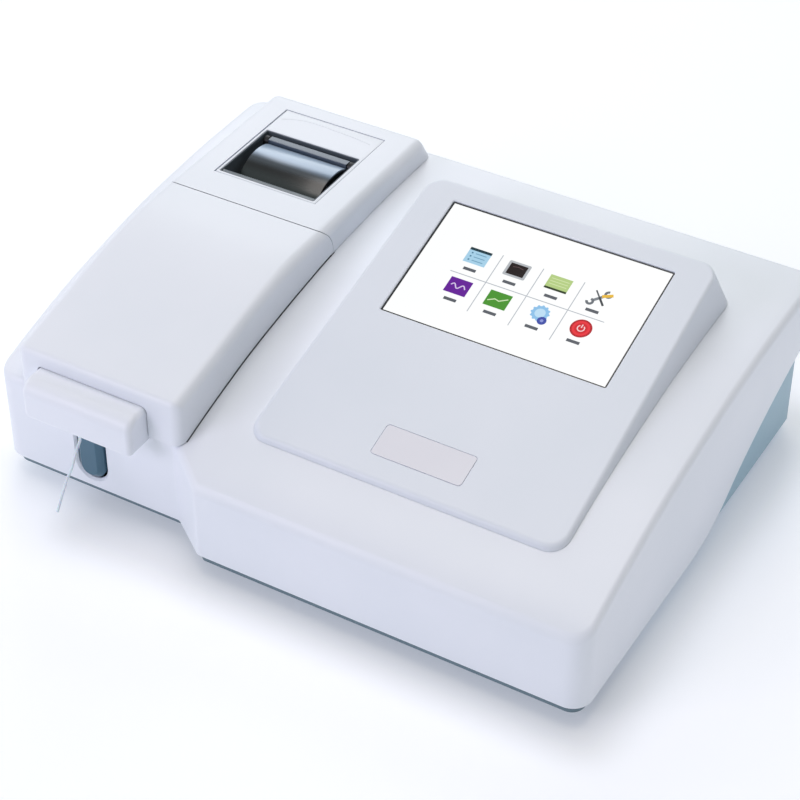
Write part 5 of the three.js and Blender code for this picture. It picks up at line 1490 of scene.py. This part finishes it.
# Feet and case screws: four rubber feet with a hollow sole, glued on, and four pan head screws that rise
# through the tray's posts into the shell. Each kind is one piece of Geometry Nodes copies.
def copies_tree():
    """Copies of an item at the points of a mesh, each turned about a pivot by its number times a turn."""
    tree = bpy.data.node_groups.new("copies_of_a_piece", "GeometryNodeTree")
    for name, kind in (("Places", "Geometry"), ("Item", "Object"), ("Turn", "Vector"), ("Pivot", "Vector"),
                       ("Finish", "Material")):
        tree.interface.new_socket(name, in_out="INPUT", socket_type="NodeSocket" + kind)
    tree.interface.new_socket("Piece", in_out="OUTPUT", socket_type="NodeSocketGeometry")
    given = add(tree, "NodeGroupInput").outputs
    item = add(tree, "GeometryNodeObjectInfo", links={"Object": given["Item"]})
    placed = add(tree, "GeometryNodeInstanceOnPoints",
                 links={"Points": given["Places"], "Instance": item.outputs["Geometry"]})
    number = add(tree, "GeometryNodeInputIndex").outputs["Index"]
    angle = add(tree, "ShaderNodeVectorMath", links={0: given["Turn"], "Scale": number}, operation="SCALE")
    rotation = add(tree, "FunctionNodeEulerToRotation", links={"Euler": angle.outputs["Vector"]})
    turned_items = add(tree, "GeometryNodeRotateInstances", {"Local Space": False},
                       {"Instances": placed.outputs["Instances"], "Rotation": rotation.outputs["Rotation"],
                        "Pivot Point": given["Pivot"]})
    real = add(tree, "GeometryNodeRealizeInstances", links={"Geometry": turned_items.outputs["Instances"]})
    finished = add(tree, "GeometryNodeSetMaterial",
                   links={"Geometry": real.outputs["Geometry"], "Material": given["Finish"]})
    add(tree, "NodeGroupOutput", links={"Piece": finished.outputs["Geometry"]})
    return tree


copies = copies_tree()


def copied(name, item, shifts, finish, turn=(0, 0, 0), pivot=(0, 0, 0)):
    """Copies of an item in one plain mesh: each is shifted by millimetres, then turned about the pivot."""
    mesh = bpy.data.meshes.new(name)
    mesh.from_pydata([Vector(shift) / 1000 for shift in shifts], [], [])
    piece = put(name, mesh)
    modifier = piece.modifiers.new("copies", "NODES")
    modifier.node_group = copies
    inputs = [entry for entry in copies.interface.items_tree if entry.in_out == "INPUT"]
    socket = {entry.name: entry.identifier for entry in inputs}
    modifier[socket["Item"]] = item
    modifier[socket["Turn"]] = [math.radians(angle) for angle in turn]
    modifier[socket["Pivot"]] = list(at(*pivot))
    modifier[socket["Finish"]] = finish
    bake(piece)
    bpy.data.objects.remove(item)
    return piece


foot_height = 9
foot_places = [(-180, 50), (180, 30), (-180, 270), (180, 270)]
foot_nodes = ["foot_front_left", "foot_front_right", "foot_rear_left", "foot_rear_right"]
foot_profile = [(3, 2.6), (3, 0.4), (3.4, 0), (7.6, 0), (8.2, 0.25), (8.6, 0.9), (8.85, 2.2), (9, 5),
                (9, 8.2), (8.7, 8.7)]


def shifts_from(places):
    """How far each place lies from the first."""
    return [(x - places[0][0], y - places[0][1], 0) for x, y in places]


foot_item = turned("foot", foot_profile, (*foot_places[0], -base_drop - foot_height), "Z")
settle(copied("rubber_feet", foot_item, shifts_from(foot_places), rubber), foot_nodes, rubber)

screw_radius = 1.9
thread_pitch = 1
thread_depth = 0.3
thread_start = 9
screw_length = 26
screw_profile = [(3.3, 0), (3.6, 0.25), (3.7, 0.8), (3.7, 2.3), (3.4, head_height),
                 (screw_radius, head_height), (screw_radius, thread_start)]
for i in range(int((screw_length - 1.5 - thread_start) / thread_pitch)):
    screw_profile += [(screw_radius - thread_depth, thread_start + (i + 0.5) * thread_pitch),
                      (screw_radius, thread_start + (i + 1) * thread_pitch)]
screw_profile += [(1.1, screw_length)]
screw_place = (*boss_places[0], -base_drop)
screw_item = turned("case_screw", screw_profile, screw_place, "Z", 24)
for wide, long in ((0.9, 3.8), (3.8, 0.9)):
    carve(screw_item, box("cross_slot", around(screw_place[0], wide / 2), around(screw_place[1], long / 2),
                          (-base_drop - overrun, -base_drop + 1.4)))
# Zinc-plated steel: bright with a cool cast, and a little coarser than the blasted parts.
zinc_steel = blasted_metal("zinc_plated_steel", "#C9CDD2", "#B4BAC2", 0.32, 0.5)
case_screws = copied("case_screws", screw_item, shifts_from(boss_places), zinc_steel)
settle(case_screws, ["case_screw_" + str(i + 1) for i in range(4)], zinc_steel)


# Lid pins: two short steel pins, turned and ground, that are the lid's whole hinge. They are pressed through
# the lid's ears into the tub's walls.
pin_start = -186.5
pin_length = 6.5
pin_round = 0.3
pin_spacing = 110.5
pin_profile = [(lid_pin_radius - pin_round, 0), (lid_pin_radius, pin_round),
               (lid_pin_radius, pin_length - pin_round), (lid_pin_radius - pin_round, pin_length)]
pin_item = turned("lid_pin", pin_profile, (pin_start, hinge_y, hinge_z), "X", 32)
lid_pins = copied("lid_pins", pin_item, [(0, 0, 0), (pin_spacing, 0, 0)], steel_turned)
settle(lid_pins, ["lid_pin_left", "lid_pin_right"], steel_turned)


# Bay tub: the grey ABS floor and walls under the lid, screwed to the shell from below, with openings for the
# cell, the lamp and the pump's motor.
grey_abs = moulded("grey_abs", "#8C939B", "#858C94", 0.44, 0.5, 0.015, 0.35)
softened("bay_tub_moulding", "bay_tub", 0.5, grey_abs, 20)


# Optical bench: a machined plate with a bulkhead, the cell's holder and the lamp's housing, blasted and
# anodised, and a black detector case. The housing sheds the lamp's heat through a row of fins.
softened("optics_bench", "optics_plate", 0.4, blasted_aluminium, 20)
softened("cell_holder_block", "cell_holder", 0.5, blasted_aluminium)
softened("detector_case", "detector_housing", 0.6, black_abs)
softened("lamp_housing_block", "lamp_housing", 0.6, blasted_aluminium)
fin_size = (4.5, 1.2, 42)
fin_start = (-154, 155)
fin_pitch = 4
fin_count = 8
fin_low = 7
fin_lean = 2
fin_end = fin_start[1] + fin_size[1]
fin_outline = [(0, fin_low), (fin_size[0], fin_low + fin_lean), (fin_size[0], fin_low + fin_size[2]),
               (0, fin_low + fin_lean + fin_size[2])]
fin_item = along_y("fin", fin_outline, fin_start[0] - 0.2, [
    (fin_start[1] - 0.2, 0.2), (fin_start[1], 0), (fin_end - 0.2, 0), (fin_end, 0.2)])
fin_shifts = [(0, i * fin_pitch - 1, 0) for i in range(fin_count)]
fins = copied("lamp_housing_fins", fin_item, fin_shifts, blasted_aluminium)
dress(fins, "lamp_housing", blasted_aluminium)


# Lamp, lens and cell: a halogen lamp on a nickelled base hangs in its housing, a condenser lens faces it,
# and the flow cell is a quartz block with two nipples that lifts out of its holder.
optics_x = -172
lamp_y = 169
lamp_bottom = 26.3
bulb_radius = 5
base_radius = 9
flange_radius = 12
base_low = 18
flange_low = 29.7
flange_top = 32.2
# Fused quartz: clear and polished, with the faintest drift in its polish.
quartz = surface("fused_quartz", {
    "Base Color": linear("#F4F8FA"), "Transmission Weight": 1.0, "IOR": 1.458}, haze=(70.0, 2.0, 0.02, 0.05))
lamp_base = turned("halogen_lamp_base", [
    (6.5, base_low - 0.4), (base_radius - 0.3, base_low), (base_radius, base_low + 0.4),
    (base_radius, flange_low), (flange_radius - 0.4, flange_low), (flange_radius, flange_low + 0.4),
    (flange_radius, flange_top - 0.4), (flange_radius - 0.4, flange_top), (5, flange_top),
    (4.6, flange_top - 0.6)],
    (optics_x, lamp_y, lamp_bottom), "Z")
# Nickelled steel: bright and a little warm.
nickel = blasted_metal("nickelled_steel", "#CFCDC6", "#C3C1BA", 0.25, 0.6)
settle(lamp_base, "halogen_lamp", nickel)
bulb_profile = [(bulb_radius * math.sin(t), bulb_radius * (1 - math.cos(t))) for t in quarter(8, 1)]
bulb_profile += [(bulb_radius, base_low - 0.2)]
bulb = turned("halogen_lamp_bulb", bulb_profile, (optics_x, lamp_y, lamp_bottom), "Z")
dress(bulb, "halogen_lamp", quartz)
lens_radius = 6.7
lens_rim = 1.33
lens_bulge = 2.67
lens_profile = [(lens_radius - 0.2, 0), (lens_radius, -0.2)]
lens_profile += [(lens_radius * math.cos(t), -lens_rim - lens_bulge * math.sin(t)) for t in quarter(10)[:-1]]
lens = turned("condenser_lens_glass", lens_profile, (optics_x, 155, 34), "Y")
settle(lens, "condenser_lens", quartz, 50)
softened("flow_cell_block", "flow_cell", 0.25, quartz)


# Filter wheel: a black anodised disc with six coated glass filters, turned by a small motor on the bulkhead.
# Its rim is notched where the sensor finds its place.
wheel_middle = (-155, 0, 34)
wheel_back = 132
wheel_face = (134, 138)
wheel_radius = 24
wheel_hub = 6
wheel_bore = 2.3
index_floor = 22.5
filter_circle = 17
filter_radius = 5
wheel = turned("filter_wheel_disc", [
    (wheel_hub - 0.3, wheel_back), (wheel_hub, wheel_back + 0.3), (wheel_hub, wheel_face[0]),
    (wheel_radius - 0.4, wheel_face[0]), (wheel_radius, wheel_face[0] + 0.4),
    (wheel_radius, wheel_face[1] - 0.4), (wheel_radius - 0.4, wheel_face[1]),
    (wheel_bore + 0.3, wheel_face[1]), (wheel_bore, wheel_face[1] - 0.3),
    (wheel_bore, wheel_back + 0.3), (wheel_bore + 0.3, wheel_back)], wheel_middle, "Y", 96, True)
for i in range(6):
    turn = math.pi * (1 + i / 3)
    middle = (wheel_middle[0] + filter_circle * math.cos(turn), 0,
              wheel_middle[2] + filter_circle * math.sin(turn))
    carve(wheel, turned("filter_seat", [(filter_radius + seam, wheel_face[0] - overrun),
                                        (filter_radius + seam, wheel_face[1] + overrun)], middle, "Y", 32))
carve(wheel, box("index_notch", around(wheel_middle[0], 1), (wheel_back - overrun, wheel_face[1] + overrun),
                 (wheel_middle[2] + index_floor, high)))
# Black anodised aluminium: a dark, even, dull metal.
black_anodised = blasted_metal("black_anodised_aluminium", "#2B2C30", "#242528", 0.4)
settle(wheel, "filter_wheel", black_anodised)
# Interference filter: a deep violet mirror that turns green where the coating thins.
coated = surface("coated_filter_glass", {
    "Roughness": 0.06, "Metallic": 0.5, "Coat Weight": 0.6, "Coat Roughness": 0.04},
    ("#6A4A93", "#3F6B72", 25.0, 1.0))
filter_item = turned("filter", [
    (filter_radius - 0.3, wheel_face[0] + seam), (filter_radius, wheel_face[0] + seam * 2),
    (filter_radius, wheel_face[1] - seam * 2), (filter_radius - 0.3, wheel_face[1] - seam)],
    (wheel_middle[0] - filter_circle, 0, wheel_middle[2]), "Y", 40)
filters = copied("coated_filters", filter_item, [(0, 0, 0)] * 6, coated, (0, 60, 0), wheel_middle)
settle(filters, ["filter_" + str(i + 1) for i in range(6)], coated)
wheel_motor = turned("wheel_motor_case", [
    (11.5, 108.3), (12.6, 108.6), (13, 109.2), (13, 110.6), (12.6, 110.9), (12.6, 125.6), (13, 125.9),
    (13, 127.6),
    (12.4, 128.3), (4, 128.3), (4, 129.6), (3.6, 129.9), (2, 129.9), (2, 137.7), (1.7, 138)],
    wheel_middle, "Y", 64)
settle(wheel_motor, "wheel_motor", nickel)


# Peristaltic pump: a grey housing with a horseshoe track, a rotor with three white rollers that squeeze the
# silicone tube against it, and a geared motor under the bay's floor.
pump_x = -98
pump_y = 95
rotor_low = 65.8
rotor_high = 75.8
roller_arm = 10.2
roller_radius = 3.2
softened("pump_housing_block", "pump_housing", 0.5, grey_abs)
rotor = turned("pump_rotor_carrier", [
    (3.1, rotor_low), (13, rotor_low), (13.3, rotor_low + 0.3), (13.3, rotor_low + 0.9),
    (7, rotor_low + 1.2), (7, rotor_high - 1.2), (13.3, rotor_high - 0.9), (13.3, rotor_high - 0.3),
    (13, rotor_high), (3.1, rotor_high), (2.8, rotor_high - 0.3), (2.8, rotor_low + 0.3)],
    (pump_x, pump_y, 0), "Z", 72, True)
settle(rotor, "pump_rotor", black_abs)
roller_item = turned("roller", [
    (roller_radius - 0.5, rotor_low + 1.4), (roller_radius, rotor_low + 1.9),
    (roller_radius, rotor_high - 1.9), (roller_radius - 0.5, rotor_high - 1.4)],
    (pump_x + roller_arm, pump_y, 0), "Z", 32)
# White acetal: waxy and slightly translucent.
white_acetal = milky("white_acetal", "#ECECE8", "#E2E2DD", 0.3, 0.15)
rollers = copied("pump_rollers", roller_item, [(0, 0, 0)] * 3, white_acetal, (0, 0, 120),
                 (pump_x, pump_y, 0))
dress(rollers, "pump_rotor", white_acetal)

tube_reach = 15.35
tube_level = 70.8
tube_back = -31
tube_bend = 5
tube_low = 52.5
tube_radius = 1.35


def tube_leg(side):
    """From the tail under the floor, round a bend, along the track's straight side."""
    x = pump_x + side * tube_reach
    line = [(x, pump_y + tube_back, z) for z in (tube_low, tube_low + 6, tube_level - tube_bend)]
    line += [(x, pump_y + tube_back + tube_bend * (1 - math.cos(t)),
              tube_level - tube_bend * (1 - math.sin(t))) for t in quarter(8, 1)]
    return line + [(x, pump_y + y, tube_level) for y in (-20, -10)]


bow = [(pump_x - tube_reach * math.cos(t), pump_y + tube_reach * math.sin(t), tube_level)
       for t in (math.pi * step / 36 for step in range(37))]
tube_line = tube_leg(-1) + bow + tube_leg(1)[::-1]
# Silicone rubber: milky and soft.
silicone = milky("silicone_rubber", "#DEDBD2", "#D2CFC6", 0.4, 0.35)
settle(loft("pump_tube_hose", hose_rings(tube_line, tube_radius, 20)), "pump_tube", silicone, 50)
pump_motor = turned("pump_motor_case", [
    (12, 18.7), (16.4, 18.9), (17, 19.5), (17, 21.5), (16.5, 21.9), (16.5, 45), (17, 45.4), (17, 59.1),
    (16.4, 59.7), (5, 59.7), (5, 61), (2.5, 61.2), (2.5, 75), (2.2, 75.3)], (pump_x, pump_y, 0), "Z", 64)
settle(pump_motor, "pump_motor", nickel)


# Electronics: the main board of glass epoxy with its chips, screwed to the tray's posts, and the power
# supply in a folded aluminium can beside it.
board_face = 5.3


def mask_and_epoxy(tree, place):
    """Green solder mask up to the board's face and black moulded epoxy above it."""
    rise = add(tree, "ShaderNodeSeparateXYZ", links={"Vector": place}).outputs["Z"]
    face = at(0, 0, board_face).z
    level = add(tree, "ShaderNodeMapRange", {"From Min": face, "From Max": face + 0.0001}, {"Value": rise})
    tone = add(tree, "ShaderNodeValToRGB", links={"Fac": level.outputs["Result"]})
    tone.color_ramp.elements[0].color = linear("#1F5A3C")
    tone.color_ramp.elements[1].color = linear("#1C1D1F")
    return {"Base Color": tone.outputs["Color"]}


board_surface = surface("solder_mask_and_epoxy", {"Roughness": 0.35}, grain=(250.0, 1.0, 0.3, 0.00004),
                        extra=mask_and_epoxy)
softened("main_board_with_chips", "main_board", 0.15, board_surface)
softened("power_supply_can", "power_supply", 0.6, blasted_aluminium)


# Rear panel: a passivated steel sheet closed from inside over the tray's window. It has the fan's grille and
# carries the mains inlet, the switch, the serial port and the waste fitting.
port_height = 22
inlet_x = 160
switch_x = 120
fan_x = 60
serial_x = 0
fitting_x = -40
rear_face = rear_inside
softened("rear_panel_sheet", "rear_panel", 0.2, zinc_steel, 20)


# Mains inlet: a black three pin socket, moulded round nickelled blades and screwed into the panel. The
# upper corners of its recess are cut off.
def port_frame(name, x, size, rim, back, face, room, room_depth, corner=1.2):
    """A body through the panel with a rounded flange on its face and a recess."""
    wide, long = size
    body = rounded(rectangle(0, port_height, wide, long, 0.6), 4)
    piece = along_y(name, body, x, [
        (rear_face - back, 0.4), (rear_face - back + 0.4, 0), (rear_face + 0.5, 0)])
    flange = rounded(rectangle(0, port_height, wide + rim * 2, long + rim * 2, corner), 6)
    front = rear_face + face
    carve(piece, along_y("flange", flange, x, [
        (rear_face, 0), (front - 0.5, 0), (front - 0.15, 0.15), (front, 0.5)]), "UNION")
    return carve(piece, along_y("room", room, x, [
        (front - room_depth, 0), (front - 0.4, 0), (front, -0.4), (depth + overrun, -0.4)]))


inlet_room = [(-10.4, 15), (10.4, 15), (10.4, 24.5), (6.5, 29), (-6.5, 29), (-10.4, 24.5)]
inlet = port_frame("power_inlet_socket", inlet_x, (27, 20), rim=2.2, back=20, face=2, room=inlet_room,
                   room_depth=15)
settle(inlet, "power_inlet", black_abs)
blade_length = 13
blade_spread = 7
earth_rise = 1.333
blade_item = box("inlet_blade", around(inlet_x, 1), (rear_face - blade_length, rear_face),
                 around(port_height + earth_rise, 2))
blade_places = [(0, 0, 0), (-blade_spread, 0, -earth_rise * 2), (blade_spread, 0, -earth_rise * 2)]
inlet_blades = copied("inlet_blades", blade_item, blade_places, nickel)
dress(inlet_blades, "power_inlet", nickel)


# Rocker switch: a black moulded frame snapped into the panel, and a rocker on an axle. The two usual marks
# are filled in with matt white paint.
switch_room = rounded(rectangle(0, port_height, 16, 22, 0.5), 4)
switch_frame = port_frame("switch_frame", switch_x, (20, 26), rim=2, back=16, face=2, room=switch_room,
                          room_depth=14)
settle(switch_frame, "switch_body", black_abs)
softened("power_rocker_cap", "power_rocker", 0.4, black_abs)
rocker_tilt = math.radians(-9)
rocker_y = rear_face - 2.5
rocker_face = 4.8
rocker_crown = 1.2
rocker_half = 9.5
mark_proud = 0.06


def on_rocker(x, z, proud):
    """A point on the rocker's two sloping faces, at its tilt at rest."""
    y = rocker_face + rocker_crown * abs(z) / rocker_half + proud
    return (switch_x + x, rocker_y + y * math.cos(rocker_tilt) - z * math.sin(rocker_tilt),
            port_height + y * math.sin(rocker_tilt) + z * math.cos(rocker_tilt))


def mark(name, outlines):
    """A flat mark with a little thickness, from outlines that are joined ring by ring."""
    rings = [[on_rocker(x, z, proud) for x, z in outline] for outline, proud in outlines]
    return loft(name, rings, True)


off_ring = [circle(radius, 40) for radius in (1.9, 1.9, 1.4, 1.4)]
off_mark = mark("rocker_marks", [([(x, z - 5) for x, z in ring], proud)
                                 for ring, proud in zip(off_ring, (-0.1, mark_proud, mark_proud, -0.1))])
bar_ring = [(-0.25, 3), (0.25, 3), (0.25, 7), (-0.25, 7)]
on_mark = loft("on_mark", [[on_rocker(x, z, proud) for x, z in bar_ring] for proud in (-0.1, mark_proud)])
carve(off_mark, on_mark, "UNION")
# White marking paint: matt.
marking_paint = moulded("white_marking_paint", "#ECECEA", "#E2E2E0", 0.6, 0.3, 0.003, 0.3)
dress(off_mark, "power_rocker", marking_paint)


# Serial port: a drawn and nickelled shell with a slanted outline round nine brass contacts in a black
# insulator. Two hexagonal posts fix it to the panel.
serial_face = rear_face + 1


def slanted(wide, long, radius):
    """The outline of the plug: wider at the top than at the bottom."""
    lean = long * 0.1
    low, top = around(port_height, long / 2)
    corners = [(-wide / 2 + lean, low, radius), (wide / 2 - lean, low, radius),
               (wide / 2, top, radius), (-wide / 2, top, radius)]
    return rounded(corners, 6)


serial_shell = along_y("serial_port_shell", slanted(17, 8.6, 2), serial_x, [
    (rear_face - 10, 0.3), (rear_face - 9.7, 0), (serial_face + 5.8, 0), (serial_face + 6, 0.2)])
serial_plate = rounded(rectangle(0, port_height, 31, 12.5, 1.5), 6)
carve(serial_shell, along_y("serial_plate", serial_plate, serial_x, [
    (rear_face, 0), (serial_face - 0.15, 0), (serial_face, 0.15)]), "UNION")
carve(serial_shell, along_y("serial_room", slanted(17 - 1.8, 8.6 - 1.8, 1.4), serial_x, [
    (serial_face + 0.3, 0), (depth + overrun, 0)]))
settle(serial_shell, "serial_port", nickel)
insulator = along_y("serial_insulator", slanted(17 - 2, 8.6 - 2, 1.3), serial_x, [
    (serial_face + 0.2, 0), (serial_face + 1.1, 0), (serial_face + 1.2, 0.1)])
dress(insulator, "serial_port", black_abs)
contact_pitch = 2.77
contact_item = turned("serial_contact", [
    (0.5, serial_face + 1), (0.5, serial_face + 5.2), (0.25, serial_face + 5.5)],
    (serial_x - 2 * contact_pitch, 0, port_height + 1.42), "Y", 12)
contact_shifts = [(i * contact_pitch, 0, 0) for i in range(5)]
contact_shifts += [((i + 0.5) * contact_pitch, 0, -2.84) for i in range(4)]
# Turned and lacquered brass: yellow, bright, with fine rings.
turned_brass = blasted_metal("turned_brass", "#C9A45C", "#B9924B", 0.28, 0.4)
contacts = copied("serial_contacts", contact_item, contact_shifts, turned_brass)
dress(contacts, "serial_port", turned_brass)
post_item = turned("serial_post", [
    (2.4, serial_face - 0.2), (2.5, serial_face), (2.5, serial_face + 4), (2.2, serial_face + 4.3),
    (1.2, serial_face + 4.3), (1.2, serial_face + 2)], (serial_x - 12.5, 0, port_height), "Y", 6)
posts = copied("serial_posts", post_item, [(0, 0, 0), (25, 0, 0)], nickel)
dress(posts, "serial_port", nickel, 20)


# Waste fitting: a hose barb turned from brass bar, with a hexagonal flange. It is screwed through the panel
# and ends in four barbs that hold a hose.
fitting_middle = (fitting_x, 0, port_height)
flange_end = rear_face + 3
barbs = [(3.2, flange_end + 1)]
for i in range(4):
    start = flange_end + 1 + i * 2.6
    barbs += [(3.5, start + 0.2), (2.7, start + 2.5)]
fitting_profile = [(3, rear_face - 10), (3, rear_face), (3.2, rear_face + 0.2), (3.2, flange_end)] + barbs
fitting_profile += [(2.6, flange_end + 12), (1.5, flange_end + 12), (1.5, rear_face - 10)]
fitting = turned("waste_fitting_barb", fitting_profile, fitting_middle, "Y", 48, True)
hexagon = turned("hexagon", [
    (6 - 0.4, rear_face), (6, rear_face + 0.4), (6, flange_end - 0.4), (6 - 0.4, flange_end)],
    fitting_middle, "Y", 6)
bore_profile = [(2.9, rear_face - overrun), (2.9, flange_end + overrun)]
carve(hexagon, turned("bore", bore_profile, fitting_middle, "Y", 48))
carve(fitting, hexagon, "UNION")
settle(fitting, "waste_fitting", turned_brass)


# Fan: a square moulded frame of black ABS with a strut cross, screwed behind the panel, and a rotor of seven
# twisted blades that turns on the frame's axle.
softened("fan_frame_moulding", "fan_frame", 0.45, black_abs)
fan_middle = (fan_x, 0, 26)
fan_span = (296.7, 307.4)
hub_radius = 9
blade_reach = 21.9
blade_count = 7
blade_pitch = 42
blade_untwist = 14
blade_chord = 8.6
blade_taper = 1.4
blade_camber = 0.9
blade_section = [(-0.5, 0.1), (-0.2, 0.5), (0.2, 0.5), (0.5, 0.15), (0.5, -0.15), (0.2, -0.3), (-0.2, -0.3),
                 (-0.5, -0.1)]
hub = turned("fan_rotor_hub", [
    (hub_radius - 1, fan_span[0]), (hub_radius, fan_span[0] + 0.4), (hub_radius, fan_span[1] - 1.4),
    (hub_radius - 0.4, fan_span[1] - 0.5), (hub_radius - 1.5, fan_span[1]), (2.1, fan_span[1]),
    (1.8, fan_span[1] - 0.3), (1.8, fan_span[0])], fan_middle, "Y", 64, True)
blade_rings = []
for step in range(9):
    share = step / 8
    out = hub_radius - 0.4 + (blade_reach - hub_radius + 0.4) * share
    pitch = math.radians(blade_pitch - blade_untwist * share)
    chord = blade_chord - blade_taper * share
    ring = []
    for along, thick in blade_section:
        a = along * chord
        b = thick + blade_camber * (0.25 - along * along)
        ring.append((fan_x + a * math.sin(pitch) + b * math.cos(pitch),
                     sum(fan_span) / 2 + a * math.cos(pitch) - b * math.sin(pitch), fan_middle[2] + out))
    blade_rings.append(ring)
fan_blades = copied("fan_rotor_blades", loft("fan_blade", blade_rings), [(0, 0, 0)] * blade_count, black_abs,
                    (0, 360 / blade_count, 0), fan_middle)
settle(hub, "fan_rotor", black_abs)
dress(fan_blades, "fan_rotor", black_abs, 50)
